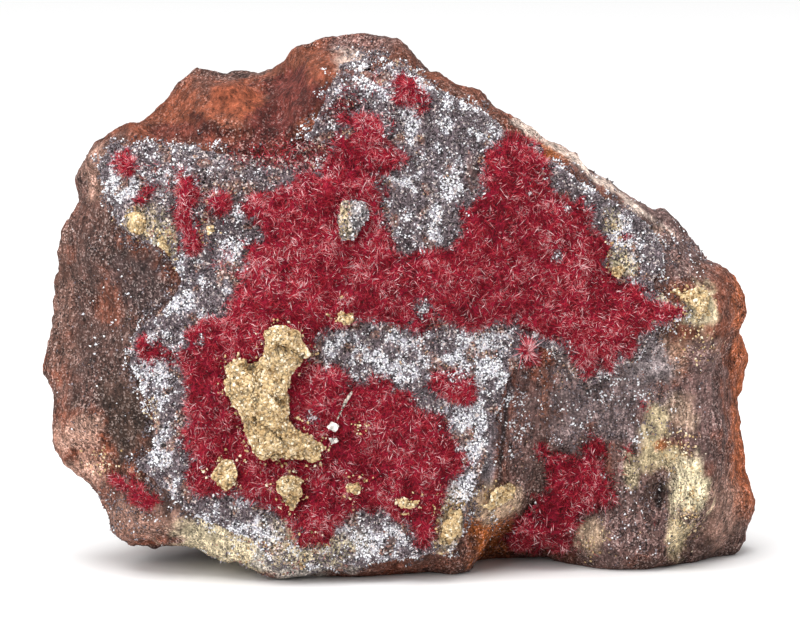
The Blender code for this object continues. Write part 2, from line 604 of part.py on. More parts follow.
def seen_surface(pieces):
    """A function from (u, v) to the depth at which the view meets the pieces."""
    shaped = bmesh.new()
    for piece in pieces:
        shaped.from_mesh(piece.data)
    tree = BVHTree.FromBMesh(shaped)
    shaped.free()

    def surface(u, v):
        depths = front_depth(u, v)
        for index, (across, up) in enumerate(zip(u, v)):
            start = from_view((across, NEAR_DEPTH, up))
            towards = from_view((across, FAR_DEPTH, up)) - start
            place = tree.ray_cast(start, towards)[0]
            if place is not None:
                depths[index] = to_view(place)[1]
        return depths

    return surface


def steepness(u, v):
    """How many times longer than square to the face a way straight back through a coat is."""
    across = (front_depth(u + SLOPE_REACH, v) - front_depth(u - SLOPE_REACH, v)) / (2 * SLOPE_REACH)
    up = (front_depth(u, v + SLOPE_REACH) - front_depth(u, v - SLOPE_REACH)) / (2 * SLOPE_REACH)
    return np.minimum(np.sqrt(1 + across ** 2 + up ** 2), MOST_STEEP)


def piece_box(piece):
    """The lowest and highest corner of a piece."""
    points = np.empty(len(piece.data.vertices) * 3, np.float32)
    piece.data.vertices.foreach_get("co", points)
    points = points.reshape(-1, 3)
    return points.min(axis=0), points.max(axis=0)


def come_near(piece, other):
    """Whether the boxes round two pieces come within twice the gap of each other."""
    low, high = piece_box(piece)
    other_low, other_high = piece_box(other)
    margin = 2 * GAP * MM
    return bool(np.all(low - margin <= other_high) and np.all(other_low - margin <= high))


def add_bed(piece):
    """A copy of a piece that is larger by the gap all round, to cut whatever lies on the piece."""
    bed = add_object(piece.name + "_bed", piece.data)
    growth = bed.modifiers.new("gap", "DISPLACE")
    growth.mid_level = 0
    growth.strength = CUT_GAP * MM


def cut_by_beds(piece):
    """Cuts a piece by the bed of each piece that it lies on or beside, and makes its own bed."""
    for bed in collection_of("cutters").objects:
        if come_near(piece, bed):
            cut = piece.modifiers.new("gap to " + bed.name, "BOOLEAN")
            cut.operation = "DIFFERENCE"
            cut.object = bed
            cut.use_self = True
    apply_modifiers(piece)
    drop_crumbs(piece.data)
    add_bed(piece)


def lay_coat(name, finish, outlines, surface, thickness, triangle_area):
    """A coat on the open face: raised over the surface on its near side, cut to it on its far side."""
    coat = add_object(name, outline_prism(name, outlines, COAT_DEPTH), finish)
    remesh(coat, COAT_VOXEL)

    def shape(points):
        u, share, v = points[:, 0], points[:, 1] / COAT_DEPTH, points[:, 2]
        swells = np.array([noise.noise(Vector((*spot, 0)) / SWELL_SIZE) for spot in zip(u, v)])
        lift = (GAP + thickness(u, v) * (1 + SWELL * swells)) * steepness(u, v)
        depth = surface(u, v) + COAT_SINK * share - lift * (1 - share)
        return np.array([from_view(point) for point in zip(u, depth, v)])

    move_points(coat.data, shape)
    area = sum(polygon.area for polygon in coat.data.polygons) / MM ** 2
    thin_out(coat, max(LEAST_TRIANGLES, area / triangle_area))
    cut_by_beds(coat)
    return coat


def set_crystal(name, finish, mesh, spot, surface, turn):
    """A crystal on the surface at a spot of the view, turned and cut to what it lies on."""
    across, up = spot
    depth = surface(np.array([across]), np.array([up]))[0]
    place = Matrix.Translation(from_view((across, depth - CRYSTAL_LIFT, up)))
    mesh.transform(place @ Euler(turn).to_matrix().to_4x4())
    cut_by_beds(add_object(name, mesh, finish))


def grain_mesh(name, size):
    """A blocky grain."""
    shaped = bmesh.new()
    bmesh.ops.create_cube(shaped, size=1)
    bmesh.ops.scale(shaped, vec=Vector(size) * MM, verts=shaped.verts)
    mesh = bpy.data.meshes.new(name)
    shaped.to_mesh(mesh)
    shaped.free()
    return mesh


def splinter_mesh(name, length, width):
    """A five-sided splinter that narrows to one end."""
    shaped = bmesh.new()
    bmesh.ops.create_cone(
        shaped, cap_ends=True, segments=5, radius1=width * MM / 2, radius2=width * MM / 5,
        depth=length * MM,
    )
    mesh = bpy.data.meshes.new(name)
    shaped.to_mesh(mesh)
    shaped.free()
    return mesh


def centre_on_origin():
    """Moves every piece so that the origin is on the ground under the middle of the whole."""
    pieces = collection_of("chalcotrichite_specimen").objects
    boxes = [piece_box(piece) for piece in pieces]
    low = np.min([box[0] for box in boxes], axis=0)
    high = np.max([box[1] for box in boxes], axis=0)
    middle = (low + high) / 2
    for piece in pieces:
        move_points(piece.data, lambda points: points - (middle[0], middle[1], low[2]))


def main():
    for old in list(bpy.data.objects):
        bpy.data.objects.remove(old)
    stone = make_stone()
    add_bed(stone)
    druse = lay_coat("druse_lining", "druse", [DRUSE_OUTLINE], seen_surface([stone]),
                     lambda u, v: DRUSE_THICKNESS, DRUSE_TRIANGLE_AREA)
    lining = seen_surface([stone, druse])
    mats = [
        lay_coat(name, "chalcotrichite", outlines, lining,
                 partial(mat_thickness, outlines), MAT_TRIANGLE_AREA)
        for name, outlines in MATS.items()
    ]
    for finish, lumps in (("ochre", OCHRE_LUMPS), ("greystone", STONE_CHIPS)):
        for name, (crown, outline) in lumps.items():
            lay_coat(name, finish, [outline], lining,
                     partial(lump_thickness, outline, crown), LUMP_TRIANGLE_AREA)
    felt = seen_surface(mats)
    for name, (spot, size, turn) in WHITE_GRAINS.items():
        set_crystal(name, "calcite", grain_mesh(name, size), spot, felt, turn)
    set_crystal("sliver", "greystone", splinter_mesh("sliver", SLIVER_LENGTH, SLIVER_WIDTH),
                SLIVER_SPOT, felt, SLIVER_TURN)
    centre_on_origin()


main()
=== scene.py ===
"""The looks of a chalcotrichite specimen: felts of red copper-oxide needles on drusy, iron-stained stone."""

import json
import math

import bpy
import numpy as np
from bpy.props import FloatProperty, FloatVectorProperty, PointerProperty
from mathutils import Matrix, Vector, noise
from mathutils.bvhtree import BVHTree

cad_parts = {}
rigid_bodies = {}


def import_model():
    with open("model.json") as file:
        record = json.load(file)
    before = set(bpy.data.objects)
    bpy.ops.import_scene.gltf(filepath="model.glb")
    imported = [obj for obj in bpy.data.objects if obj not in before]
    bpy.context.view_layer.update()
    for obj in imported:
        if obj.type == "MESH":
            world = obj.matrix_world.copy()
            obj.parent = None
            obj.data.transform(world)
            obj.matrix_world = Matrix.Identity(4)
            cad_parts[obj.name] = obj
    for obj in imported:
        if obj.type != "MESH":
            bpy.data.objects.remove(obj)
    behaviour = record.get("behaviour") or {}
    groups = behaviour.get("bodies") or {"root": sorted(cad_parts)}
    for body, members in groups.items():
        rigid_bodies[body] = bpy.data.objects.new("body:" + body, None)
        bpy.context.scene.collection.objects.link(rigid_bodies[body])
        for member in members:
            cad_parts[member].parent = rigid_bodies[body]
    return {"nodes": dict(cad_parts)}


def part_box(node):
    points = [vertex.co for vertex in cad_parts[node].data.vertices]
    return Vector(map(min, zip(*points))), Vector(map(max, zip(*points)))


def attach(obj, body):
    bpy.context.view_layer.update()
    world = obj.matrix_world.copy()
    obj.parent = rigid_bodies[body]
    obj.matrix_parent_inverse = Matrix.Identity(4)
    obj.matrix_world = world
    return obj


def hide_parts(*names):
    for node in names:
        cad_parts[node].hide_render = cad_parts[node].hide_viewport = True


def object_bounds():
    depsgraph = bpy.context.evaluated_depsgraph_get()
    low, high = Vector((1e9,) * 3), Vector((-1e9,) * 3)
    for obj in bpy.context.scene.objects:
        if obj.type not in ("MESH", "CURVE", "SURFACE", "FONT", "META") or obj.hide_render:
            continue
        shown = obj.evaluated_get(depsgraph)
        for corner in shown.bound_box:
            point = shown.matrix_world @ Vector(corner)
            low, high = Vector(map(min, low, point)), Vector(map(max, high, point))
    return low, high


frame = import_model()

bl_info = {
    "name": "Chalcotrichite specimen",
    "version": (1, 0, 0),
    "blender": (4, 5, 0),
    "location": "3D View > Sidebar > Specimen",
    "description": "Dresses the solids of a chalcotrichite specimen with stone, druse, needles and ochre",
    "category": "Object",
}

MM = 0.001

# The view of the open face, in millimetres: how far it looks down and from how far, at what height, where its
# depth starts, how deep the face and its rim are, where the model was centred, the camera's lens and shift,
# and the direction to the viewer
VIEW_TILT = math.radians(8)
VIEW_DISTANCE = 700
VIEW_HEIGHT = 34
FRONT_Y = -17
FACE_DEPTH = 13
RIM_DEPTH = 5.5
CENTRED_BY = np.array((-0.408, 2.742, 0.0))
CAMERA_LENS = 254.5
CAMERA_SHIFT = (1 / 800, 3.6 / 800)
TO_VIEWER = np.array((0.0, -math.cos(VIEW_TILT), math.sin(VIEW_TILT)))

# The height of the specimen, and how near the ground and the top nothing grows, in millimetres
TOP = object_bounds()[1][2] / MM
CLEARANCE = 0.5

# The cosine of a normal with the direction to the viewer: above the first a face is seen, within the second
# it is part of a rim, and below the third it is part of a back
FRONT_FACING = 0.05
EDGE_ON = 0.2
BACK_FACING = -0.15

# In millimetres: how far behind it a coat looks for its ground and a needle for a loose bit,
# how far coats stay off the floor and rays start off a surface, and how low a copy's tip may reach
ROOT_REACH = 5
HIDE_REACH = 3
HAIR = 0.05
LOWEST_TIP = 0.1

# Spacing of the fine meshes in millimetres, and how many times they are smoothed
MESHES = {
    "druse": (0.4, 3),
    "felt": (0.36, 3),
    "ochre": (0.33, 1),
    "chip": (0.3, 2),
    "grain": (0.1, 8),
    "sliver": (0.05, 1),
}
STONE_SMOOTHING = 4

# Copies of small models: the most triangles that a piece of them has, and the map that they are coloured by,
# with a column for each tone and some room, in shares of the column, at its ends and at its sides
MOST_TRIANGLES = 180000
TONE_STEPS = 64
MAP_EDGE = 0.04
COLUMN_EDGE = 0.15

# How far a bent needle's tip sways, in widths, and how wide the next segment is for each width of the last
NEEDLE_BEND = 0.9
NEEDLE_TAPER = 0.85

# Seeds of the random draws
SEEDS = {"druse": 11, "mats": 23, "ochre": 37, "chip": 43}

# Noises: the size of a swelling in millimetres, octaves and seed
NOISES = {
    "stone, broad": (4.5, 3, 1.0),
    "stone, rough": (1.7, 4, 5.0),
    "stone, grain": (0.75, 2, 9.0),
    "stone, calm": (3.0, 3, 45.0),
    "stone, drift": (14.0, 3, 2.0),
    "stone, speckle": (6.0, 3, 47.0),
    "stone, stains": (3.2, 4, 4.0),
    "stone, stains, fine": (0.9, 2, 5.0),
    "right side, edge": (4.0, 3, 49.0),
    "right side, strength": (2.5, 3, 51.0),
    "druse, lumps": (2.2, 3, 3.0),
    "druse, stains": (3.2, 4, 6.0),
    "druse, stains, fine": (0.9, 2, 7.0),
    "druse, rust": (2.4, 3, 53.0),
    "druse, gaps": (1.6, 3, 29.0),
    "druse, edge": (1.8, 3, 13.0),
    "druse, clumps": (2.0, 2, 8.0),
    "druse, clumps, fine": (0.8, 2, 18.0),
    "mats, edge": (2.2, 2, 33.0),
    "mats, edge, fine": (0.7, 2, 35.0),
    "mats, clusters": (0.9, 2, 17.0),
    "mats, dents": (2.6, 3, 7.0),
    "mats, dents, fine": (0.9, 2, 19.0),
    "mats, glints": (2.6, 3, 55.0),
    "needles, heading": (2.6, 2, 12.0),
    "needles, tone": (5.0, 3, 57.0),
    "needles, shifts": (2.0, 2, 15.0),
    "strays, tufts": (0.9, 3, 27.0),
    "ochre, crumble": (1.3, 4, 21.0),
    "ochre, sides": (0.9, 3, 59.0),
    "ochre, tone": (2.4, 3, 63.0),
    "ochre, cracks": (1.0, 3, 61.0),
    "dust, edge": (0.9, 3, 41.0),
    "chip, relief": (1.2, 3, 31.0),
    "chip, stain": (1.0, 2, 2.0),
    "calcite, relief": (0.3, 2, 4.0),
    "sliver, relief": (0.5, 2, 3.0),
}

# Cells, such as crystals and grains: their size in millimetres and seed
CELLS = {"druse": (1.6, 2.0), "ochre": (1.7, 1.0), "calcite": (0.8, 6.0)}

# Pigments of the stones, stains and earths, and of the shade painted in hollows, cracks and under the lump
PIGMENTS = {
    "umber": "#604943",
    "deep umber": "#553D37",
    "dark umber": "#4A3B3A",
    "brown umber": "#43322B",
    "red brown": "#6E5046",
    "rust": "#7B432F",
    "orange": "#A85C38",
    "lump orange": "#8C4A32",
    "dark rust": "#5E2A26",
    "cave rust": "#96501F",
    "grey umber": "#75615C",
    "grey": "#8C8283",
    "pale grey": "#BDB6AE",
    "plum": "#6E5450",
    "pink tan": "#AE8675",
    "tan": "#B59B82",
    "pale crust": "#DEC8BA",
    "pale yellow": "#B8A785",
    "light ochre": "#D2C4A2",
    "ochre": "#D0B68C",
    "crimson": "#84102A",
    "frost": "#A3A1AA",
    "mauve": "#6C5E63",
    "flank mauve": "#72605F",
    # Painted shade: shadow in the slot and the crack, crevice shade along the lump's lower edge
    "shadow": "#241A1B",
    "crevice": "#4A1E18",
    "chip grey": "#8D8788",
    "chip tan": "#B9A585",
    "calcite": "#C2BDB7",
    "sliver": "#968C82",
    "pale grain": "#CDBFB9",
}

# Stones and earths: roughness, strength of the relief, size of a grain in millimetres, how strongly grains
# speckle the colour, how pale the palest are, and how mottled the colour is
STONES = {
    # Iron-stained rock, broken: dull all over, with dark pores that swallow the light
    "ironstone_broken": (0.9, 0.8, 0.2, 0.85, 0.3, 1.0),
    # The crust that the crystals grew on: half dull, and sugary with pale grains
    "drusy_crust_ground": (0.6, 0.9, 0.25, 1.0, 0.9, 1.0),
    # Limonite, weathered to earth: chalky and even, without gloss
    "limonite_earth": (0.95, 0.9, 0.25, 0.6, 0.3, 0.5),
    # Grey stone, splintered: coarse salt-and-pepper grains with a weak sheen
    "grey_stone_chip": (0.7, 0.9, 0.3, 1.0, 0.8, 1.0),
    # Calcite, cleaved: pale and nearly even, with smooth steps that shine
    "calcite_cleaved": (0.3, 0.3, 0.4, 0.2, 0.5, 1.0),
    # Grey stone, split thin: flatter and finer than the chip, with the same weak sheen
    "grey_stone_sliver": (0.7, 0.6, 0.25, 0.8, 0.5, 1.0),
}

# Noise textures of the materials, in swellings for each millimetre
MOTTLE = {"Scale": 0.5, "Detail": 8, "Roughness": 0.7}
STREAKS = {"Scale": 0.9, "Detail": 5, "Roughness": 0.6}
PORES = {"Scale": 2.6, "Detail": 6, "Roughness": 0.75}
STRANDS = {"Scale": 2.4, "Detail": 8, "Roughness": 0.8}
MULTIPLY = {"data_type": "RGBA", "blend_type": "MULTIPLY"}

# Tones and colours of the crystals: from dark to white below the rusty tone, the white partly the crystals'
# own and partly painted glints, and tinted with rust above it
DARK_TONE = 0.09
BRIGHT_TONE = 0.72
RUSTY_TONE = 0.82
CRYSTAL_TONES = [
    (0.0, "#221A1C"), (0.2, "#5C4C51"), (0.4, "#94898F"), (0.6, "#DCDCE4"), (RUSTY_TONE - 0.02, "#FFFFFF"),
    (RUSTY_TONE, "#7C4A3A"), (0.92, "#A87A70"), (1.0, "#C8AC86"),
]

# Tones and colours of the crumbs, and the tones at which the needles have the five colours of their settings
CRUMB_TONES = [(0.0, "#6F5636"), (0.3, "#B99A6E"), (0.7, "#D6BB8E"), (1.0, "#F2E7CF")]
NEEDLE_TONES = (0.0, 0.22, 0.45, 0.68, 0.95)

# Stains on the stone, and painted shade under the lump and in the slot: middle u and v, reach across and up
# in millimetres of the view, pigment, strength
STONE_STAINS = {
    "left side": (-35, 32, 11, 22, "deep umber", 1.0),
    "red of the left side": (-36, 35.4, 3.0, 4.5, "rust", 0.6),
    "red by the druse": (-28.6, 38.9, 1.6, 1.2, "rust", 0.8),
    "left rib": (-42.5, 34, 2.4, 13, "red brown", 0.7),
    # The left hollows are painted darker than the rest of the side
    "left hollow above": (-32, 38, 4.5, 6, "dark umber", 0.8),
    "left hollow": (-34.5, 19.5, 4.5, 6.5, "brown umber", 1.0),
    "left lip": (-39.8, 18.5, 4.5, 4, "pink tan", 0.9),
    "lower left corner": (-39, 14.5, 3.4, 3, "pink tan", 0.8),
    "left foot": (-33, 7.5, 6, 3.5, "pink tan", 0.5),
    "shoulder": (-37, 51, 3, 4, "pink tan", 0.7),
    "shelf": (-28, 58, 10, 5, "rust", 1.0),
    # Painted shade in dark rust on the shelf under the lump
    "shelf shade": (-27, 56.0, 5, 1.8, "dark rust", 0.7),
    "lump": (-20, 60, 5.2, 3.4, "lump orange", 1.0),
    "crest": (-12, 63.5, 8, 5, "rust", 0.8),
    # Dark rust with painted shade: partly in the recess beside the lump at the red crest, wholly in the
    # hollow and under the lump
    "red crest": (-12.5, 60.6, 5.5, 4.6, "dark rust", 0.9),
    "hollow": (-16.8, 56.8, 4.0, 2.4, "dark rust", 1.0),
    "under the lump": (-16, 54.3, 8, 2.4, "dark rust", 0.9),
    "crown": (-4, 67, 6, 2.0, "plum", 0.8),
    "crown dust": (-6.5, 65.0, 2.8, 1.8, "pale crust", 0.5),
    "rust under the rim": (18, 53.8, 2.5, 1.6, "cave rust", 0.8),
    "right shoulder": (34, 42, 7, 5, "plum", 1.0),
    "light shoulder": (33.5, 44, 3.5, 2.4, "tan", 0.35),
    "right toe": (41, 8, 3.4, 7, "pink tan", 0.45),
    "beige of the flank": (34, 28, 4, 4.5, "tan", 0.35),
    "right flank": (26, 24, 13, 10, "flank mauve", 1.0),
    "grey of the flank": (32, 27, 4, 4, "grey", 0.7),
    "brown of the flank": (15.5, 20, 4.0, 9.5, "plum", 0.8),
    "rust of the flank": (18.2, 23.5, 0.7, 5, "cave rust", 0.35),
    "lower right": (28, 8, 8, 8, "plum", 1.0),
    "cave": (11.4, 5, 3.8, 6, "cave rust", 1.0),
    "lip": (11.5, 10, 4.2, 3, "tan", 0.9),
    "east dust": (37.4, 34.7, 3.1, 3.6, "light ochre", 1.0),
    "east dust below": (38.2, 29.3, 2.4, 3.2, "tan", 0.4),
    "dust by the bay": (24, 5.6, 2.3, 2.7, "tan", 0.9),
    "base": (-21, 4, 10, 4.5, "light ochre", 0.8),
    "grey base": (-12, 3, 7, 4, "pale grey", 0.9),
    "right foot": (31, 1.2, 7, 1.8, "umber", 0.7),
    "right flank's edge": (38, 22, 4.4, 11, "plum", 1.0),
    "beige above the arch": (35.4, 21.4, 2.6, 2.8, "tan", 0.5),
    "arch crown": (31.9, 19.6, 2.3, 3.0, "pale yellow", 0.95),
    "arch": (32.3, 15.8, 4.1, 2.5, "pale yellow", 1.0),
    "arch right leg": (36.3, 11.4, 3.3, 5.0, "light ochre", 1.0),
    "arch toe": (35.0, 5.6, 1.7, 3.6, "pale yellow", 0.9),
    "arch left leg": (29.3, 13.0, 1.3, 2.5, "pale yellow", 0.9),
    "rust in the arch": (33.0, 17.1, 1.2, 0.7, "cave rust", 0.9),
    # Painted shadow in the slot
    "slot": (32.8, 10.9, 0.8, 2.3, "shadow", 1.0),
    "stem's edge": (11.0, 18, 1.5, 7, "frost", 0.6),
}

# Stains that follow a line on the stone, and painted shade in the crack and along the lump's edge: half
# width, pigment, strength, where the depth ends, points u and v
STONE_BANDS = {
    "shoulder": (2.6, "plum", 1.0, FACE_DEPTH, [(22, 53.2), (27, 50.2), (33, 45.6), (38, 41)]),
    "pale rim": (0.8, "pale crust", 0.85, RIM_DEPTH,
                 [(14.5, 57.6), (18, 55.4), (22, 52.9), (26, 49.8), (30, 46.5)]),
    "pale rim right": (0.5, "pale crust", 0.7, RIM_DEPTH, [(30, 46.5), (37.6, 41.6), (42, 38.5)]),
    "rust line": (0.45, "cave rust", 0.7, RIM_DEPTH, [(16.5, 55.2), (21, 52.8)]),
    # Painted shade in the crack and, in crevice shade, along the lump's lower edge
    "crack": (0.5, "shadow", 0.9, FACE_DEPTH, [(12.6, 12.5), (12.9, 17), (13.4, 21), (13.9, 25.5)]),
    "edge of the lump": (0.7, "crevice", 0.8, FACE_DEPTH,
                         [(-25.5, 58.4), (-23, 56.6), (-20, 56.0), (-17, 57.4), (-15.8, 60.2),
                          (-16.4, 62.5)]),
}

# The u and v from which the stone's right side is orange
RIGHT_SIDE = (41.3, 6.5)

# Small swellings (above 0) and hollows of the stone: middle u and v, reach across and up, rise in millimetres
STONE_SWELLS = {
    "lump": (-20.5, 60.2, 3.8, 3.2, 1.1),
    "hollow by the lump": (-15.2, 58.0, 2.8, 3.6, -1.2),
    "under the lump": (-20.5, 55.8, 5.0, 1.4, -0.8),
    "behind the crown": (-2.8, 64.8, 2.2, 1.2, 1.8),
    "slot": (32.8, 10.9, 0.9, 2.4, -0.7),
}

# Where the stone is smooth, without grains: middle u and v, reach across and up, share
STONE_CALM = {
    "lump": (-20, 60, 5.4, 3.6, 0.9),
    "shelf": (-28, 58, 10, 5, 0.6),
    "crest": (-11, 62, 8, 6, 0.75),
    "right side": (48, 24, 7.2, 19, 0.5),
    "rim": (28, 51, 16, 6, 0.5),
}

# Stains on the druse's bed, and painted shade under the ledge
DRUSE_STAINS = {
    "lobe": (7, 50, 4, 5, "mauve", 0.6),
    "pink of the lobe": (8.8, 51.5, 1.6, 3.2, "plum", 0.9),
    "east dust": (27.5, 39.5, 2.6, 2.4, "light ochre", 0.9),
    "east dust below": (34, 35.6, 3, 2, "light ochre", 0.8),
    "east upper dust": (26.5, 45.3, 1.6, 2.0, "light ochre", 0.7),
    "crown rust": (-6, 63.5, 2, 1.5, "rust", 0.6),
    "crown red": (-7, 58.6, 3, 2.6, "dark rust", 0.8),
    # Partly dark red of the bed and partly painted shade under the ledge, in dark rust
    "under the ledge": (-13, 53.6, 9, 2.6, "dark rust", 0.9),
    "left dust": (-31, 45.3, 3.4, 2.0, "light ochre", 0.7),
    "left dust below": (-29, 42, 2, 2, "light ochre", 0.6),
    "left brown": (-24, 49, 9, 4.5, "plum", 0.5),
    "west dust": (-31.5, 21, 1.5, 2.5, "ochre", 0.6),
    "base dust": (-12, 5, 8, 4, "light ochre", 0.8),
    "foot dust": (6, 8, 3, 5, "ochre", 0.6),
    "flank brown": (20, 26, 6, 4, "grey umber", 0.9),
    "flank edge": (27, 29, 5, 5, "grey umber", 0.7),
}

# Where more of the druse is rusty: middle u and v, reach across and up, strength
RUSTY_CORNER = (-23, 50, 11, 5, 0.22)

# Where the druse's crystals are whitest, from 0 to 1: middle u and v, reach across and up, brightness
DRUSE_LIGHTS = {
    "top band": (0, 62.5, 9, 4, 0.42),
    "right of the top": (10, 60, 5, 2.5, 0.35),
    "lobe head": (3, 57, 4, 4, 0.25),
    "lobe white": (6.6, 49.6, 2.3, 2.2, 1.0),
    "lobe stem": (4.4, 44.5, 2.2, 5, 0.8),
    "left upper": (-27, 51.5, 6, 2.2, 0.45),
    "left patch": (-34.5, 50, 3, 4, 0.8),
    "left strand": (-21, 40, 3, 4.5, 0.7),
    "west": (-27.5, 35, 3.0, 3, 0.8),
    "west band": (-30.5, 26, 3.2, 7, 0.8),
    "west foot": (-29.5, 17, 3.2, 4, 0.7),
    "centre": (-1, 27.5, 9, 4, 0.5),
    "centre left": (-7, 30, 3, 3, 0.5),
    "window rim": (6.5, 26.5, 4.5, 3.0, 0.9),
    "centre right": (10, 28, 4.2, 6.5, 1.3),
    "stem": (8.5, 19, 3.8, 6.2, 1.4),
    "stem foot": (7.5, 12, 3, 4.5, 1.0),
    "base": (-3, 5.5, 6, 4, 0.75),
    "base left": (-18, 5, 8, 4, 0.7),
    "east": (20, 46, 4, 3.5, 0.5),
    "east edge": (28, 43, 4, 4, 0.6),
    "east lobe": (35, 33.6, 2, 1.5, 0.7),
    "flank brown": (14.5, 21, 3, 8, 0.45),
}

# Where the druse's crystals are sparse: middle u and v, reach across and up, share that is missing
DRUSE_GAPS = {
    "on the ledge": (-17, 58, 8.5, 3.6, 1.0),
    "under the ledge": (-14.5, 53.8, 9.5, 3.0, 0.9),
    "pink of the lobe": (8.8, 51.5, 1.6, 3.2, 0.85),
    "crown red": (-7, 58.6, 3, 2.6, 0.7),
    "east dust": (27.5, 39.5, 2.6, 2.4, 0.7),
    "east dust below": (34, 35.6, 3, 2, 0.6),
    "left dust": (-31, 45.3, 3.4, 2.0, 0.6),
    "left brown": (-24, 49, 7, 3.5, 0.35),
    "flank brown": (20, 26, 6, 4, 0.75),
    "flank edge": (27, 29, 5, 5, 0.5),
    "foot dust": (6, 8, 3, 5, 0.5),
    "base dust": (-12, 5, 8, 4, 0.3),
}

# Where small crystals glitter on the bare stone: middle u and v, reach across and up, glitter
STONE_GLITTER = {
    "flank": (25, 24, 13, 10, 4.5),
    "lower right": (30, 9, 8, 8, 1.2),
    "right shoulder": (35, 41, 6, 5, 1.5),
    "left side": (-36, 30, 8, 16, 0.35),
    "left foot": (-34, 9, 7, 5, 1.5),
    "base": (-18, 3, 12, 4, 1.5),
    "crown": (-5, 65.5, 4, 2.0, 3.5),
    "pale rim": (26, 50, 12, 4, 0.7),
    "flank brown": (15, 20, 3, 8, 3.5),
    "stem's edge": (11.0, 18, 1.5, 7, 8.0),
    "lip": (11.5, 8, 4, 5, 1.0),
}

# Ochre crumbs away from the lumps: middle u and v, reach across and up, crumbs per mm²
OCHRE_DUST = {
    "by the white grains": (-4.8, 19.4, 1.8, 1.0, 10),
    "left bank": (-30.5, 43.6, 4.2, 1.6, 5),
    "strip's foot": (-23.8, 44.0, 1.2, 2.4, 5),
    "east bank": (27.0, 42.0, 2.0, 4.4, 6),
    "east lobe": (36.5, 34.0, 3.2, 4.0, 6),
    "east slope": (38.0, 29.5, 2.4, 3.0, 4),
    "arch": (34.5, 16.8, 4.2, 3.4, 5),
    "arch right leg": (36.6, 9.0, 2.0, 6.0, 5),
    "lip": (11.8, 10.6, 3.6, 2.6, 5),
    "stem foot": (6.0, 7.5, 2.6, 5.0, 5),
    "base": (-15, 4.0, 9, 3.2, 3),
    "lower left": (-37, 15.0, 3.0, 2.4, 4),
    "bay's right": (25.0, 5.0, 3.0, 3.0, 4),
    "west druse": (-31.0, 21.5, 1.2, 2.0, 5),
}

# How many crumbs there are beside a lump, for each crumb on it
DUST_COVER = 1.1

# Cracks in the lumps of ochre: points u and v
OCHRE_CRACKS = [
    [(-18.4, 20.2), (-15.8, 18.8), (-13.6, 16.9)],
    [(-18.6, 28.4), (-18.3, 26.4), (-17.4, 24.8)],
    [(-14.6, 29.4), (-12.6, 28.6), (-11.4, 27.4)],
    [(-16.2, 23.6), (-14.4, 22.6)],
]

# Where the ochre is darker than elsewhere: middle u and v, reach across and up, shift
OCHRE_SHADES = {
    "left lobe": (-20.3, 26.0, 2.6, 3.6, -0.14),
    "tail": (-12.4, 16.8, 3.4, 2.4, -0.16),
    "south west": (-21.6, 13.4, 2.4, 2.4, -0.03),
}

# Small clusters of crystals that come through the mats: middle u and v, radius
PEEPING_CRYSTALS = [
    (2.9, 34.4, 1.3), (-6.5, 56.4, 1.0), (19.7, 40.7, 0.9), (21.0, 46.6, 0.7), (16.3, 48.6, 0.4),
    (-10.9, 20.6, 0.9), (-12.7, 18.4, 0.7), (-2.2, 44.8, 0.6), (-20.5, 38.0, 0.8), (-24.8, 30.4, 0.7),
]

# Where the needles are paler (above 0) or deeper in tone: middle u and v, reach across and up, shift
MAT_TONES = {
    "upper mat": (-5, 46, 8, 8, 0.04),
    "right mat": (18, 41, 10, 9, 0.08),
    "right mat centre": (13, 44, 4, 5, -0.10),
    "west of the ochre": (-23, 24, 4, 9, -0.12),
    "east of the ochre": (-6, 18, 6, 6, -0.06),
    "lower mat": (-1, 14, 7, 5, -0.10),
    "window": (6.5, 24.5, 4, 3, 0.16),
    "far right": (30, 34, 5, 4, 0.10),
    "base bay": (19.5, 9, 6, 6, -0.20),
}

# Sparse needles on the druse and the stone: middle u and v, reach across and up, needles per mm²
TUFTS = {
    "east spot": (30.8, 22.2, 0.7, 1.0, 40),
    "east dab": (28.6, 16.4, 0.9, 0.9, 50),
    "east blush": (28.3, 43.2, 1.1, 0.7, 40),
    "window blush": (15.6, 30.8, 1.4, 0.9, 15),
    "under the ledge": (-13.5, 53.4, 7.5, 2.2, 22),
    "crown blush": (-6.6, 60.2, 2.2, 2.4, 18),
    "crown spots": (-3.4, 62.2, 1.5, 1.2, 10),
    "north west": (-29.5, 50.8, 3.0, 2.6, 6),
    "strip's side": (-23.0, 47.0, 2.4, 3.0, 12),
    "west strand": (-22.0, 40.5, 2.0, 2.4, 9),
    "bay's foot": (19.0, 5.0, 5.5, 2.6, 10),
    "bay's right": (26.8, 12.4, 2.0, 2.2, 9),
}

# The ground that shows where a mat retreats, if that isn't the druse
MAT_GROUNDS = {"mat_base_right": "plum", "mat_base_left": "umber"}

# The mats' edges wander by up to this many millimetres from those of their solids
MAT_WANDER = 1.7

# The spray: its heart in the view, and how many long needles it throws out
SPRAY_HEART = (16.2, 29.0)
SPRAY_NEEDLES = 70

MATS = [name for name in frame["nodes"] if name.startswith("mat_")]
OCHRES = [name for name in frame["nodes"] if name.startswith("ochre_")]
GRAINS = ["white_grain_upper", "white_grain_lower"]
LOOSE_BITS = GRAINS + ["sliver"]
ON_DRUSE = MATS + OCHRES + ["stone_chip"]
COATS = MATS + OCHRES + ["druse_lining", "stone_chip"]


# Colours and coordinates

def linear(colour):
    """The linear red, green, blue and alpha of an sRGB hex colour."""
    parts = [int(colour[i:i + 2], 16) / 255 for i in (1, 3, 5)]
    return [part / 12.92 if part <= 0.04045 else ((part + 0.055) / 1.055) ** 2.4 for part in parts] + [1.0]


def pigment_of(name):
    """The linear colour of a pigment."""
    return np.array(linear(PIGMENTS[name]))


def blend(first, second, share):
    """The first colour where the share is 0, and the second where it is 1."""
    return first * (1 - share[:, None]) + second * share[:, None]


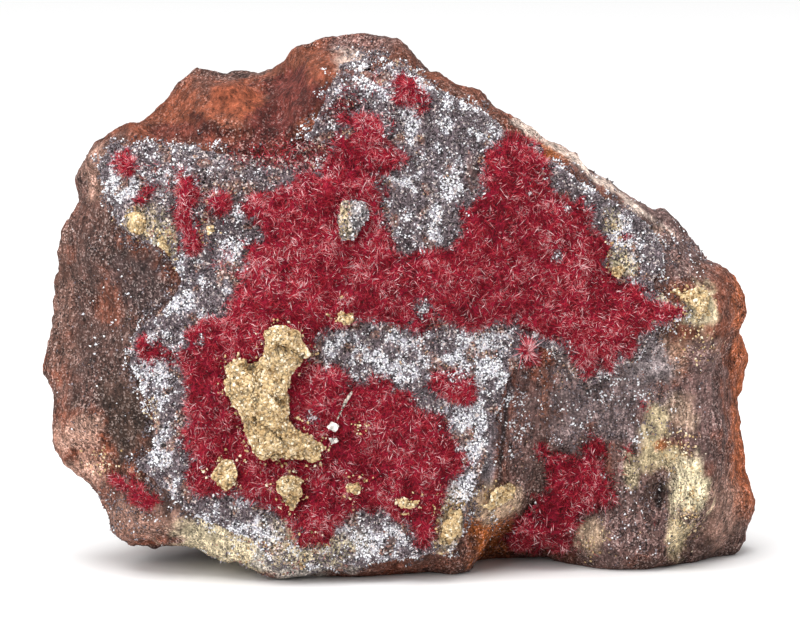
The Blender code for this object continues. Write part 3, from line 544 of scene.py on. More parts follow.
def to_view(points):
    """The u, depth and v in the view of points in millimetres of the row frame."""
    x, y, z = (np.asarray(points) - CENTRED_BY).T + 0.0
    depth = y - FRONT_Y
    spread = depth / VIEW_DISTANCE
    upright = (z + depth * math.tan(VIEW_TILT) + VIEW_HEIGHT * spread) / (1 + spread)
    return x / (1 + spread), depth, upright * math.cos(VIEW_TILT)


def smooth_step(share):
    """Eases from 0 to 1 as the share does."""
    share = np.clip(share, 0, 1)
    return share * share * (3 - 2 * share)


def noise_shift(seed):
    """Where in the noise a pattern lies."""
    return Vector((seed, 1.7 * seed, -seed))


def noise_at(points, name):
    """The named fractal noise at each point, of about -1 to 1."""
    size, octaves, seed = NOISES[name]
    shift = noise_shift(seed)
    return np.array([noise.fractal(Vector(point) / size + shift, 1.0, 2.0, octaves) for point in points])


def cells_at(points, name):
    """How far each point is from the middle of the nearest of the named cells, in shares of their size."""
    size, seed = CELLS[name]
    shift = noise_shift(seed)
    return np.array([noise.voronoi(Vector(point) / size + shift)[0][0] for point in points])


def patch(u, v, wander, middle_u, middle_v, reach_u, reach_v, softness):
    """How much of a patch each point has, from 0 to 1; the wander breaks its edge up."""
    away = np.sqrt(((u - middle_u) / reach_u) ** 2 + ((v - middle_v) / reach_v) ** 2)
    return smooth_step((1 - away + 0.45 * wander) / softness)


def patch_values(points, patches, softness, wander=0.0):
    """The value that each patch has at each point, in one row for each patch: it fades to 0 at the edge."""
    u, _, v = to_view(points)
    return np.array([
        value * patch(u, v, wander, middle_u, middle_v, reach_u, reach_v, softness)
        for middle_u, middle_v, reach_u, reach_v, value in patches
    ])


def from_line(u, v, line):
    """How far each point of the view is from a line through several points."""
    nearest = np.full(len(u), np.inf)
    for (u1, v1), (u2, v2) in zip(line, line[1:]):
        run = ((u - u1) * (u2 - u1) + (v - v1) * (v2 - v1)) / ((u2 - u1) ** 2 + (v2 - v1) ** 2)
        run = np.clip(run, 0, 1)
        nearest = np.minimum(nearest, np.hypot(u - u1 - run * (u2 - u1), v - v1 - run * (v2 - v1)))
    return nearest


def tree_of(nodes):
    """A tree that finds places on the solids of these nodes, in millimetres."""
    corners, faces = [], []
    for node in nodes:
        start = len(corners)
        corners += [Vector(point) for point in points_of(frame["nodes"][node])]
        faces += [[start + index for index in face.vertices] for face in frame["nodes"][node].data.polygons]
    return BVHTree.FromPolygons(corners, faces)


def rim_tree(node):
    """A tree of a mat's rim: the sides of its solid, which are seen edge on."""
    solid, ahead = frame["nodes"][node], Vector(TO_VIEWER)
    corners = [Vector(point) for point in points_of(solid)]
    sides = [list(face.vertices) for face in solid.data.polygons if abs(face.normal.dot(ahead)) < EDGE_ON]
    return BVHTree.FromPolygons(corners, sides)


def gaps_to(tree, points, reach):
    """How far each point is from the solids in the tree, up to the reach in millimetres."""
    gaps = np.full(len(points), float(reach))
    for index, point in enumerate(points):
        found = tree.find_nearest(Vector(point), reach)
        if found[0] is not None:
            gaps[index] = found[3]
    return gaps


def rooted(points, normals, ground, sink):
    """The points of a coat, with its back moved away from the open face until it is sunk in the ground."""
    points = points.copy()
    away = Vector(-TO_VIEWER)
    for index in np.flatnonzero(normals @ TO_VIEWER < BACK_FACING):
        found = ground.ray_cast(Vector(points[index]), away, ROOT_REACH)
        if found[0] is not None:
            points[index] -= TO_VIEWER * (found[3] + sink)
    points[:, 2] = np.maximum(points[:, 2], HAIR)
    return points


def hides(tree, points):
    """Which points stand before a solid in the tree, as seen from the open face."""
    away = Vector(-TO_VIEWER)
    return np.array([tree.ray_cast(Vector(point), away, HIDE_REACH)[0] is not None for point in points], bool)


def in_the_open(tree, points):
    """Which points no solid in the tree hides from the open face."""
    ahead = Vector(TO_VIEWER)
    lifted = [Vector(point) + HAIR * ahead for point in points]
    return np.array([tree.ray_cast(point, ahead)[0] is None for point in lifted], bool)


# Meshes

def deselect_all():
    """Leaves nothing selected, because an operator acts on all that is."""
    if bpy.context.object is not None and bpy.context.object.mode != "OBJECT":
        bpy.ops.object.mode_set(mode="OBJECT")
    bpy.ops.object.select_all(action="DESELECT")


def activate(piece):
    """Makes the piece the one that operators act on."""
    deselect_all()
    piece.select_set(True)
    bpy.context.view_layer.objects.active = piece


def apply_modifier(piece, kind, **settings):
    """Adds a modifier with these settings and applies it."""
    activate(piece)
    modifier = piece.modifiers.new(kind, kind)
    for key, value in settings.items():
        setattr(modifier, key, value)
    bpy.ops.object.modifier_apply(modifier=modifier.name)


def fine_copy(name, node, spacing, smoothing):
    """A new piece with the shape of a CAD node, in an even mesh with the solid's coarse edges smoothed."""
    mesh = frame["nodes"][node].data.copy()
    mesh.materials.clear()
    piece = bpy.data.objects.new(name, mesh)
    bpy.context.scene.collection.objects.link(piece)
    activate(piece)
    bpy.ops.object.mode_set(mode="EDIT")
    bpy.ops.mesh.select_all(action="SELECT")
    bpy.ops.mesh.remove_doubles(threshold=1e-6)
    bpy.ops.object.mode_set(mode="OBJECT")
    apply_modifier(piece, "REMESH", mode="VOXEL", voxel_size=spacing * MM, adaptivity=0)
    apply_modifier(piece, "SMOOTH", factor=0.5, iterations=smoothing)
    return piece


def points_of(piece):
    """The vertices of the piece, in millimetres."""
    points = np.empty(len(piece.data.vertices) * 3, np.float32)
    piece.data.vertices.foreach_get("co", points)
    return points.reshape(-1, 3).astype(float) / MM


def normals_of(piece):
    """The vertex normals of the piece."""
    normals = np.empty(len(piece.data.vertices) * 3, np.float32)
    piece.data.vertex_normals.foreach_get("vector", normals)
    return normals.reshape(-1, 3).astype(float)


def triangles_of(mesh):
    """The vertex numbers of the mesh's triangles."""
    mesh.calc_loop_triangles()
    corners = np.empty(len(mesh.loop_triangles) * 3, np.int32)
    mesh.loop_triangles.foreach_get("vertices", corners)
    return corners.reshape(-1, 3)


def move_to(piece, points):
    """Puts the vertices of the piece at points in millimetres."""
    piece.data.vertices.foreach_set("co", (points * MM).astype(np.float32).ravel())
    piece.data.update()


def paint(piece, colours):
    """Stores one stain for each vertex: a colour for all or a row of colours."""
    colours = np.broadcast_to(colours, (len(piece.data.vertices), 4))
    attribute = piece.data.color_attributes.new("stain", "FLOAT_COLOR", "POINT")
    attribute.data.foreach_set("color", colours.astype(np.float32).ravel())


def stained(points, ground, stains, wandering, bands=()):
    """The colour of each point: the ground, with the stains and bands painted over it in their order."""
    u, depth, v = to_view(points)
    wander = noise_at(points, wandering) + 0.4 * noise_at(points, wandering + ", fine")
    front = 1 - smooth_step((depth - FACE_DEPTH) / 4)
    colours = ground.copy()
    for middle_u, middle_v, reach_u, reach_v, pigment, strength in stains:
        share = strength * front * patch(u, v, wander, middle_u, middle_v, reach_u, reach_v, 0.5)
        colours += share[:, None] * (pigment_of(pigment) - colours)
    for half_width, pigment, strength, end, line in bands:
        share = strength * smooth_step((1 - from_line(u, v, line) / half_width + 0.7 * wander) / 0.6)
        share *= 1 - smooth_step((depth - end + 2 * wander) / 2.5)
        colours += share[:, None] * (pigment_of(pigment) - colours)
    return colours


def outward_spots(piece, density, chance, rng):
    """Random spots on what the piece shows of itself to the open face: places in millimetres and normals.

    The density is in spots per square millimetre where the chance, a function of places, is 1.
    """
    points, normals, corners = points_of(piece), normals_of(piece), triangles_of(piece.data)
    a, b, c = (points[corners[:, i]] for i in range(3))
    across = np.cross(b - a, c - a)
    area = np.linalg.norm(across, axis=1) / 2
    flat = across / np.maximum(2 * area[:, None], 1e-9)
    middle = (a + b + c) / 3
    inside = np.abs(middle[:, 2] - TOP / 2) < TOP / 2 - CLEARANCE
    shown = np.flatnonzero((flat @ TO_VIEWER > FRONT_FACING) & inside)
    weight = area[shown] * chance(middle[shown])
    count = int(density * weight.sum())
    picked = shown[rng.choice(len(shown), count, p=weight / weight.sum())] if count else shown[:0]
    shares = corner_shares(count, rng)
    places = (points[corners[picked]] * shares).sum(axis=1)
    outward = (normals[corners[picked]] * shares).sum(axis=1)
    return places, outward / np.linalg.norm(outward, axis=1)[:, None]


def corner_shares(count, rng):
    """Random shares of a triangle's three corners, which put spots anywhere on it alike."""
    first, second = rng.random(count), rng.random(count)
    over = first + second > 1
    first[over], second[over] = 1 - first[over], 1 - second[over]
    return np.stack((1 - first - second, first, second), axis=1)[:, :, None]


def everywhere(places):
    """The chance of a spot where all places are alike."""
    return np.ones(len(places))


def side_vectors(axes):
    """Two unit vectors square to each axis."""
    helper = np.where(np.abs(axes[:, 2:3]) < 0.8, (0.0, 0.0, 1.0), (1.0, 0.0, 0.0))
    first = np.cross(axes, helper)
    first /= np.linalg.norm(first, axis=1)[:, None]
    return first, np.cross(axes, first)


def leaning(normals, heading, lift):
    """Directions that stand at the lift angle over the surface, and run along it by the heading angle."""
    first, second = side_vectors(normals)
    along = np.cos(heading)[:, None] * first + np.sin(heading)[:, None] * second
    return np.cos(lift)[:, None] * along + np.sin(lift)[:, None] * normals


def triangle_mesh(name, points, faces):
    """A mesh of triangles whose points are in millimetres."""
    mesh = bpy.data.meshes.new(name)
    mesh.vertices.add(len(points))
    mesh.vertices.foreach_set("co", (points * MM).astype(np.float32).ravel())
    mesh.loops.add(faces.size)
    mesh.loops.foreach_set("vertex_index", faces.astype(np.int32).ravel())
    mesh.polygons.add(len(faces))
    mesh.polygons.foreach_set("loop_start", np.arange(0, faces.size, 3, dtype=np.int32))
    mesh.update(calc_edges=True)
    return mesh


def joined_copies(name, template, places, axes, widths, lengths, tones, rng):
    """One mesh of many copies of a template that stands along +Z, each with its place, axis and size."""
    points, triangles = template
    count, each = len(places), len(points)
    first, second = side_vectors(axes)
    turn = rng.random(count) * 2 * math.pi
    side = np.cos(turn)[:, None] * first + np.sin(turn)[:, None] * second
    other = np.cross(axes, side)
    copies = (
        places[:, None]
        + points[None, :, 0:1] * (side * widths[:, None])[:, None]
        + points[None, :, 1:2] * (other * widths[:, None])[:, None]
        + points[None, :, 2:3] * (axes * lengths[:, None])[:, None]
    ).reshape(-1, 3)
    faces = (triangles[None] + each * np.arange(count)[:, None, None]).reshape(-1, 3)
    mesh = triangle_mesh(name, copies, faces)
    bake_map(mesh, points, triangles, tones)
    piece = bpy.data.objects.new(name, mesh)
    bpy.context.scene.collection.objects.link(piece)
    return piece


def bake_map(mesh, points, triangles, tones):
    """A map in which each copy has the column of its tone, from its root at the bottom to its tip."""
    corner = points[triangles.ravel()]
    reach = np.ptp(points[:, 2])
    up = MAP_EDGE + (1 - 2 * MAP_EDGE) * (corner[:, 2] - points[:, 2].min()) / reach
    spin = (np.arctan2(corner[:, 1], corner[:, 0]) / (2 * math.pi)) % 1
    column = np.floor(np.clip(tones, 0, 0.999) * TONE_STEPS)
    across = (column[:, None] + COLUMN_EDGE + (1 - 2 * COLUMN_EDGE) * spin[None]) / TONE_STEPS
    where = np.stack((across, np.broadcast_to(up, across.shape)), axis=2)
    layer = mesh.uv_layers.new(name="OFBake")
    layer.data.foreach_set("uv", where.astype(np.float32).ravel())


def dressed_copies(name, template, spots, sizes, tones, rng, material, slot, *nodes):
    """Copies of a template as one piece or, where they are many, as several; spots are places and axes.

    A copy that would reach into the ground is turned up.
    """
    count = len(tones)
    places, axes, (widths, lengths) = spots[0], spots[1].copy(), sizes
    axes[places[:, 2] + axes[:, 2] * lengths < LOWEST_TIP, 2] *= -1
    parts = math.ceil(count * len(template[1]) / MOST_TRIANGLES)
    for part in range(parts):
        share = slice(count * part // parts, count * (part + 1) // parts)
        suffix = f"_{part + 1}" if parts > 1 else ""
        piece = joined_copies(
            name + suffix, template, places[share], axes[share], widths[share], lengths[share],
            tones[share], rng,
        )
        dress(piece, material, slot, *nodes)


def dress(piece, material, slot, *nodes):
    """Gives the finished piece its material and lets it stand for its nodes. The slot is not used."""
    piece.data.materials.clear()
    piece.data.materials.append(material)
    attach(piece, "root")
    if nodes:
        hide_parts(*nodes)


# Small models that are copied many times

def extrude_by(*move):
    """Draws what is selected of a model out by the move."""
    bpy.ops.mesh.extrude_region_move(TRANSFORM_OT_translate={"value": move})


def close_tip():
    """Draws the selected end of a model together and turns all faces outwards."""
    bpy.ops.mesh.merge(type="CENTER")
    bpy.ops.mesh.select_all(action="SELECT")
    bpy.ops.mesh.normals_make_consistent(inside=False)


def template_of(model):
    """The points and triangles of a small model in edit mode, which is then taken away.

    Extruding makes faces in an order that changes from run to run, so the triangles are put in order.
    """
    bpy.ops.object.mode_set(mode="OBJECT")
    points = np.array([vertex.co for vertex in model.data.vertices], float)
    triangles = triangles_of(model.data)
    bpy.data.objects.remove(model)
    return points, triangles[np.lexsort(triangles.T[::-1])]


def needle_model(segments):
    """A three-sided needle one long and one wide, which bends a little if it has segments."""
    deselect_all()
    bpy.ops.mesh.primitive_circle_add(vertices=3, radius=0.5, fill_type="NGON")
    model = bpy.context.object
    bpy.ops.object.mode_set(mode="EDIT")
    bpy.ops.mesh.select_all(action="SELECT")
    step = 1 / (segments + 1)
    for segment in range(segments):
        sway = NEEDLE_BEND * (segment + 1) / (segments + 1)
        extrude_by(sway, 0, step)
        bpy.ops.transform.resize(
            value=(NEEDLE_TAPER, NEEDLE_TAPER, 1), center_override=(sway * (segment + 1), 0, 0),
        )
    extrude_by(NEEDLE_BEND * segments, 0, step)
    close_tip()
    return template_of(model)


def crystal_model():
    """A stubby four-sided crystal that comes to a point at both ends."""
    deselect_all()
    bpy.ops.mesh.primitive_cone_add(
        vertices=4, radius1=0.5, radius2=0, depth=0.6, end_fill_type="NOTHING", location=(0, 0, 0.7),
    )
    model = bpy.context.object
    bpy.ops.object.transform_apply(location=True)
    bpy.ops.object.mode_set(mode="EDIT")
    bpy.ops.mesh.select_all(action="DESELECT")
    bpy.ops.mesh.select_non_manifold()
    extrude_by(0.03, 0.02, -0.5)
    close_tip()
    bpy.ops.transform.resize(value=(1.15, 0.9, 1.0), center_override=(0, 0, 0))
    return template_of(model)


def crumb_model():
    """An uneven crumb of earth."""
    deselect_all()
    bpy.ops.mesh.primitive_uv_sphere_add(segments=4, ring_count=2, radius=0.5, location=(0, 0, 0.3))
    model = bpy.context.object
    bpy.ops.object.transform_apply(location=True)
    for vertex in model.data.vertices:
        vertex.co *= 1 + 0.35 * noise.noise(vertex.co * 2.3 + Vector((3.1, 0.4, 1.2)))
    bpy.ops.object.mode_set(mode="EDIT")
    bpy.ops.mesh.select_all(action="SELECT")
    bpy.ops.transform.resize(value=(1.1, 0.9, 0.8))
    return template_of(model)


# Materials

def add_node(tree, kind, settings=None):
    """Adds a node. Its settings are properties, inputs by name or number, or a ramp's stops.

    An input takes a value or the socket that is linked to it.
    """
    node = tree.nodes.new(kind)
    for key, value in (settings or {}).items():
        if key == "stops":
            set_stops(node.color_ramp.elements, value)
        elif isinstance(value, bpy.types.NodeSocket):
            tree.links.new(value, node.inputs[key])
        elif isinstance(key, str) and hasattr(node, key):
            setattr(node, key, value)
        else:
            node.inputs[key].default_value = value
    return node


def set_stops(elements, stops):
    """Gives a ramp its stops: positions and colours."""
    while len(elements) < len(stops):
        elements.new(0.5)
    for element, (position, colour) in zip(elements, stops):
        element.position = position
        element.color = colour


def grey_stops(stops):
    """A ramp's stops with a neutral colour for each value."""
    return [(position, (value, value, value, 1)) for position, value in stops]


def new_material(name):
    """An empty node material and its tree."""
    material = bpy.data.materials.new(name)
    material.use_nodes = True
    material.node_tree.nodes.clear()
    return material, material.node_tree


def finish_with(tree, settings):
    """Puts a shader with these settings on the surface."""
    shader = add_node(tree, "ShaderNodeBsdfPrincipled", settings)
    add_node(tree, "ShaderNodeOutputMaterial", {"Surface": shader.outputs[0]})


def in_millimetres(tree, stretch=(1, 1, 1)):
    """Object coordinates in millimetres; a stretch below 1 draws patterns out along its axis."""
    place = add_node(tree, "ShaderNodeTexCoord").outputs["Object"]
    scale = [part / MM for part in stretch]
    return add_node(tree, "ShaderNodeMapping", {"Scale": scale, "Vector": place}).outputs[0]


def shaded(tree, colour, strength, factor, *stops):
    """The colour, made darker or lighter by a factor: each stop has a value of the factor and its shade."""
    shade = add_node(tree, "ShaderNodeValToRGB", {"Fac": factor, "stops": grey_stops(stops)}).outputs[0]
    return add_node(tree, "ShaderNodeMix", {**MULTIPLY, 0: strength, 6: colour, 7: shade}).outputs[2]


def grained(tree, colour, strength, grains, speckle, sparkle):
    """The colour with dark and light grains in it, the lightest of them pale; the strength is a socket."""
    speckled = add_node(tree, "ShaderNodeMath", {"operation": "MULTIPLY", 0: strength, 1: speckle}).outputs[0]
    colour = shaded(tree, colour, speckled, grains, (0.2, 0.12), (0.38, 0.75), (0.62, 1.15), (0.8, 2.0))
    stops = grey_stops([(0.70, 0), (0.80, sparkle)])
    pale = add_node(tree, "ShaderNodeValToRGB", {"Fac": grains, "stops": stops}).outputs[0]
    paler = add_node(tree, "ShaderNodeMath", {"operation": "MULTIPLY", 0: strength, 1: pale}).outputs[0]
    mix = {"data_type": "RGBA", 0: paler, 6: colour, 7: linear(PIGMENTS["pale grain"])}
    return add_node(tree, "ShaderNodeMix", mix).outputs[2]


def stone_material(name):
    """A stone or earth: painted stains with dark pores and pale grains that scatter light dully.

    The alpha of the stain is the strength of the grains.
    """
    roughness, bump, grain, speckle, sparkle, mottling = STONES[name]
    material, tree = new_material(name)
    place, streaked = in_millimetres(tree), in_millimetres(tree, (1, 1, 0.3))
    stain = add_node(tree, "ShaderNodeVertexColor", {"layer_name": "stain"})
    mottle = add_node(tree, "ShaderNodeTexNoise", {**MOTTLE, "Vector": place}).outputs[0]
    grains = add_node(
        tree, "ShaderNodeTexVoronoi", {"Scale": 1 / grain, "Randomness": 1, "Vector": place},
    )
    streaks = add_node(tree, "ShaderNodeTexNoise", {**STREAKS, "Vector": streaked}).outputs[0]
    fine = add_node(tree, "ShaderNodeTexNoise", {**PORES, "Vector": streaked}).outputs[0]
    colour = shaded(tree, stain.outputs["Color"], mottling, mottle, (0.32, 0.5), (0.52, 1.0), (0.72, 1.6))
    colour = grained(tree, colour, stain.outputs["Alpha"], grains.outputs["Color"], speckle, sparkle)
    colour = shaded(tree, colour, 0.8 * mottling, streaks, (0.38, 0.5), (0.5, 1.0), (0.64, 1.5))
    colour = shaded(tree, colour, 0.9, fine, (0.36, 0.15), (0.46, 0.95), (0.62, 1.5))
    summed = {"data_type": "RGBA", "blend_type": "ADD", 0: 0.5, 6: fine, 7: grains.outputs["Distance"]}
    height = add_node(tree, "ShaderNodeMix", summed).outputs[2]
    relief = add_node(tree, "ShaderNodeBump", {"Strength": bump, "Distance": 0.35 * MM, "Height": height})
    finish_with(tree, {"Base Color": colour, "Roughness": roughness, "Specular IOR Level": 0.25,
                       "Normal": relief.outputs[0]})
    return material


def felt_material():
    """Copper oxide hairs, matted into felt: deep red that takes the light unevenly and hardly shines."""
    material, tree = new_material("matted_cuprite_felt")
    stain = add_node(tree, "ShaderNodeVertexColor", {"layer_name": "stain"}).outputs["Color"]
    strands = add_node(tree, "ShaderNodeTexNoise", {**STRANDS, "Vector": in_millimetres(tree)}).outputs[0]
    colour = shaded(tree, stain, 1.0, strands, (0.34, 0.3), (0.5, 1.0), (0.68, 2.0))
    relief = add_node(tree, "ShaderNodeBump", {"Strength": 0.9, "Distance": 0.2 * MM, "Height": strands})
    finish_with(tree, {"Base Color": colour, "Roughness": 0.8, "Specular IOR Level": 0.2,
                       "Normal": relief.outputs[0]})
    return material


def palette_material(name, stops, root_shade, settings):
    """A material that reads a copy's tone across its map and its shade from root to tip up the map."""
    material, tree = new_material(name)
    where = add_node(tree, "ShaderNodeUVMap", {"uv_map": "OFBake"}).outputs[0]
    apart = add_node(tree, "ShaderNodeSeparateXYZ", {"Vector": where})
    tone = add_node(tree, "ShaderNodeValToRGB", {"Fac": apart.outputs["X"], "stops": stops}).outputs[0]
    colour = shaded(tree, tone, 1.0, apart.outputs["Y"], (0.0, root_shade), (0.6, 1.0))
    finish_with(tree, {"Base Color": colour, **settings})
    return material


def crystal_material():
    """Drusy quartz and calcite, grown: dull grey to clear white facets that catch the light, a few rusty."""
    stops = [(position, linear(colour)) for position, colour in CRYSTAL_TONES]
    gloss = {"Roughness": 0.2, "IOR": 1.55, "Coat Weight": 0.4, "Coat Roughness": 0.08}
    return palette_material("drusy_quartz_grown", stops, 0.6, gloss)


def fur_material(settings):
    """Cuprite needles, grown: deep red in the mass of them, with painted shade deep in the felt, and pale
    pink where one catches the light, as painted highlights.
    """
    colours = (settings.shade_colour, settings.deep_colour, settings.body_colour, settings.pale_colour,
               settings.painted_glint_colour)
    stops = [(position, (*colour, 1)) for position, colour in zip(NEEDLE_TONES, colours)]
    sheen = {"Roughness": 0.5, "Specular IOR Level": 0.25}
    return palette_material("cuprite_needles_grown", stops, 0.55, sheen)


def crumb_material():
    """Limonite crumbs, weathered: chalky grains of tan earth without gloss."""
    stops = [(position, linear(colour)) for position, colour in CRUMB_TONES]
    return palette_material("limonite_crumbs", stops, 0.6, {"Roughness": 0.9, "Specular IOR Level": 0.2})


# The stone

def calm(points):
    """How smooth the stone is at each point, from 0 to 1."""
    return np.max(patch_values(points, STONE_CALM.values(), 0.6, noise_at(points, "stone, calm")), axis=0)


def stone_relief(points, settings):
    """How far each point of the stone moves outwards, in millimetres: never outwards under a coat."""
    rough = 0.55 * noise_at(points * (1, 1, 0.45), "stone, rough") + 0.3 * noise_at(points, "stone, grain")
    rough *= 1 - 0.8 * calm(points)
    relief = settings.relief / MM * (-0.12 + 0.5 * noise_at(points, "stone, broad") + rough)
    near_coat = gaps_to(tree_of(MATS + OCHRES + ["druse_lining"]), points, 1.5) < 1.4
    relief[near_coat] = np.minimum(relief[near_coat] - 0.1, 0)
    on_face = to_view(points)[1] < FACE_DEPTH
    return relief + on_face * np.sum(patch_values(points, STONE_SWELLS.values(), 0.8), axis=0)


def stone_ground(points):
    """The colours under the stains: umber and rust in drifts, and orange on the right side."""
    u, _, v = to_view(points)
    drift = smooth_step(0.5 + 0.9 * noise_at(points, "stone, drift"))
    right = smooth_step((u - RIGHT_SIDE[0] + 0.9 * noise_at(points, "right side, edge")) / 0.9)
    right *= smooth_step((v - RIGHT_SIDE[1]) / 4)
    right *= 0.75 + 0.25 * smooth_step(0.5 + noise_at(points, "right side, strength"))
    return blend(blend(pigment_of("umber"), pigment_of("rust"), drift), pigment_of("orange"), right)


def build_stone(settings):
    """The stone: the CAD solid's shape with a fine broken surface, and its stains."""
    low, high = (np.array(corner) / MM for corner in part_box("matrix"))
    piece = fine_copy("stone", "matrix", settings.voxel / MM, STONE_SMOOTHING)
    points, normals = points_of(piece), normals_of(piece)
    off_ground = smooth_step(points[:, 2] / 1.2)
    points += normals * (stone_relief(points, settings) * off_ground)[:, None]
    points = np.clip(points, low, high)
    move_to(piece, points)
    ground = stone_ground(points)
    colours = stained(points, ground, STONE_STAINS.values(), "stone, stains", STONE_BANDS.values())
    speckled = 0.5 + 0.5 * smooth_step(0.5 + 1.4 * noise_at(points, "stone, speckle"))
    colours[:, 3] = (1 - calm(points)) * speckled
    paint(piece, colours)
    activate(piece)
    bpy.ops.object.shade_smooth_by_angle(angle=math.radians(50))
    dress(piece, stone_material("ironstone_broken"), "ironstone", "matrix")


# The druse

def build_druse(settings):
    """The druse: an uneven crust on the face, set all over with small crystals."""
    bed = build_druse_bed()
    rng = np.random.default_rng(SEEDS["druse"])
    material, model = crystal_material(), crystal_model()
    places, outward = outward_spots(bed, settings.crystals_per_square_mm, druse_share, rng)
    kept = rng.random(len(places)) > mat_share(places, gaps_to(tree_of(MATS), places, MAT_WANDER))
    kept &= in_the_open(tree_of(ON_DRUSE), places)
    set_crystals("druse_crystals", model, places[kept], outward[kept], settings, material, rng)
    places, outward = scattered_spots(settings, rng)
    set_crystals("scattered_crystals", model, places, outward, settings, material, rng)


def build_druse_bed():
    """The crust that the crystals stand on, stained, and red where the mats' edges wander over it."""
    bed = fine_copy("druse_bed", "druse_lining", *MESHES["druse"])
    points, normals = points_of(bed), normals_of(bed)
    lumps = 0.28 * noise_at(points, "druse, lumps") - 0.5 * cells_at(points, "druse") ** 2 + 0.05
    points += normals * np.clip(lumps, -0.4, 0.2)[:, None]
    points = rooted(points, normals, tree_of(["matrix"]), 0.5)
    move_to(bed, points)
    ground = blend(pigment_of("mauve"), pigment_of("frost"), 0.8 * druse_light(points))
    ground = blend(ground, pigment_of("red brown"), druse_rust(points))
    colours = stained(points, ground, DRUSE_STAINS.values(), "druse, stains")
    red = mat_share(points, gaps_to(tree_of(MATS), points, MAT_WANDER))
    paint(bed, blend(colours, pigment_of("crimson"), red))
    dress(bed, stone_material("drusy_crust_ground"), "druse", "druse_lining")
    return bed


def druse_rust(places):
    """Where the druse has small rusty spots, from 0 to 1: more of them on the upper left."""
    closer = patch_values(places, [RUSTY_CORNER], 0.8)[0]
    return 0.8 * smooth_step((noise_at(places, "druse, rust") + closer - 0.3) / 0.15)


def druse_share(places):
    """How much of the full druse there is at each place: less where the crust is stained."""
    wander = noise_at(places, "druse, gaps")
    missing = np.max(patch_values(places, DRUSE_GAPS.values(), 0.6, wander), axis=0)
    return 1 - np.maximum(missing, 0.8 * druse_rust(places))


def druse_light(places):
    """How white the druse is at each place: in patches with ragged edges, with painted shade in the grooves
    between the bed's lumps.
    """
    light = np.maximum(0.05, np.max(patch_values(places, DRUSE_LIGHTS.values(), 0.9), axis=0))
    clumps = noise_at(places, "druse, clumps") + 0.4 * noise_at(places, "druse, clumps, fine")
    painted_groove_shade = cells_at(places, "druse") ** 2
    # Painted shade: darker along the grooves between the bed's lumps, which the crystals and the bed's colour
    # follow
    return smooth_step((light + 0.8 * clumps - 0.4 * painted_groove_shade + 0.02) / 0.45)


def crystal_tones(places, light, rng):
    """Tones of dark, middling and bright crystals by how light it is, and of rusty ones; the bright ones are
    partly painted glints.
    """
    count = len(places)
    draw = rng.random(count)
    dark, bright = draw < 0.32 - 0.24 * light, draw > 0.94 - 0.80 * light
    tones = np.select([dark, bright], [DARK_TONE, BRIGHT_TONE], 0.27 + 0.18 * light)
    tones = np.clip(tones + 0.07 * rng.standard_normal(count), 0, RUSTY_TONE - 0.03)
    rusty = rng.random(count) < druse_rust(places)
    tones[rusty] = RUSTY_TONE + 0.02 + (0.97 - RUSTY_TONE) * rng.random(rusty.sum())
    return tones


def set_crystals(name, model, places, outward, settings, material, rng, light=None):
    """Small crystals at the places, leaning all ways; how light it is there is the druse's, if not given."""
    count = len(places)
    axes = leaning(outward, rng.random(count) * 2 * math.pi, math.pi / 2 - 0.9 * rng.random(count))
    tones = crystal_tones(places, druse_light(places) if light is None else light, rng)
    widths = settings.crystal_width / MM * (0.6 + 0.9 * rng.random(count) ** 2)
    lengths = widths * (1.1 + 0.8 * rng.random(count))
    spots = (places - 0.35 * lengths[:, None] * outward, axes)
    dressed_copies(name, model, spots, (widths, lengths), tones, rng, material, "druse")


def scattered_spots(settings, rng):
    """Spots on the bare stone beyond the druse's edge and where the stone glitters."""
    druse, coats = tree_of(["druse_lining"]), tree_of(COATS)

    def chance(places):
        wander = noise_at(places, "druse, edge")
        beyond = smooth_step((1.4 + 1.7 * wander - gaps_to(druse, places, 3.5)) / 0.8)
        glitter = np.max(patch_values(places, STONE_GLITTER.values(), 0.8, wander), axis=0)
        return np.maximum(druse_share(places) * beyond, settings.glitter * glitter)

    places, outward = outward_spots(bpy.data.objects["stone"], settings.crystals_per_square_mm, chance, rng)
    seen = in_the_open(coats, places)
    return places[seen], outward[seen]


# The mats

def mat_share(places, gaps):
    """Whether each place is red, from 0 to 1, by its gap to the mats' edge: below 0 inside them."""
    u, _, v = to_view(places)
    in_view = np.stack((u, v, np.zeros(len(u))), axis=1)
    edge = 0.75 * noise_at(in_view, "mats, edge") + 0.6 * noise_at(in_view, "mats, edge, fine")
    return smooth_step((MAT_WANDER * edge - gaps) / 0.35 + 0.5)


def peeping(places):
    """Where crystals come through the mats: 1 in the middle of each cluster, 0 away from them."""
    clusters = [(u, v, radius, radius, 1.0) for u, v, radius in PEEPING_CRYSTALS]
    return np.max(patch_values(places, clusters, 0.4, noise_at(places, "mats, clusters")), axis=0)


def mat_dents(points):
    """How deep the felt lies under the tips of its needles: in hollows a few millimetres wide."""
    dents = 0.5 + 0.3 * noise_at(points, "mats, dents") + 0.35 * noise_at(points, "mats, dents, fine")
    return np.clip(dents, 0.1, 1.0)


def build_felt(node, bare, loose):
    """The felt under one mat's needles: sunk where the mat is bare, and beside and before loose bits."""
    bed = fine_copy(node + "_felt", node, *MESHES["felt"])
    points, normals = points_of(bed), normals_of(bed)
    outer = smooth_step((normals @ TO_VIEWER) / 0.4 + 0.4)
    gone = bare(points)
    by_loose = (gaps_to(loose, points, 1.0) < 0.5) | hides(loose, points)
    dents = np.where(by_loose, 0.8, mat_dents(points) + 0.25 * gone)
    points -= normals * (dents * outer)[:, None]
    move_to(bed, rooted(points, normals, tree_of(["matrix", "druse_lining"]), 0.5))
    paint(bed, blend(pigment_of("crimson"), pigment_of(MAT_GROUNDS.get(node, "mauve")), gone))
    return bed


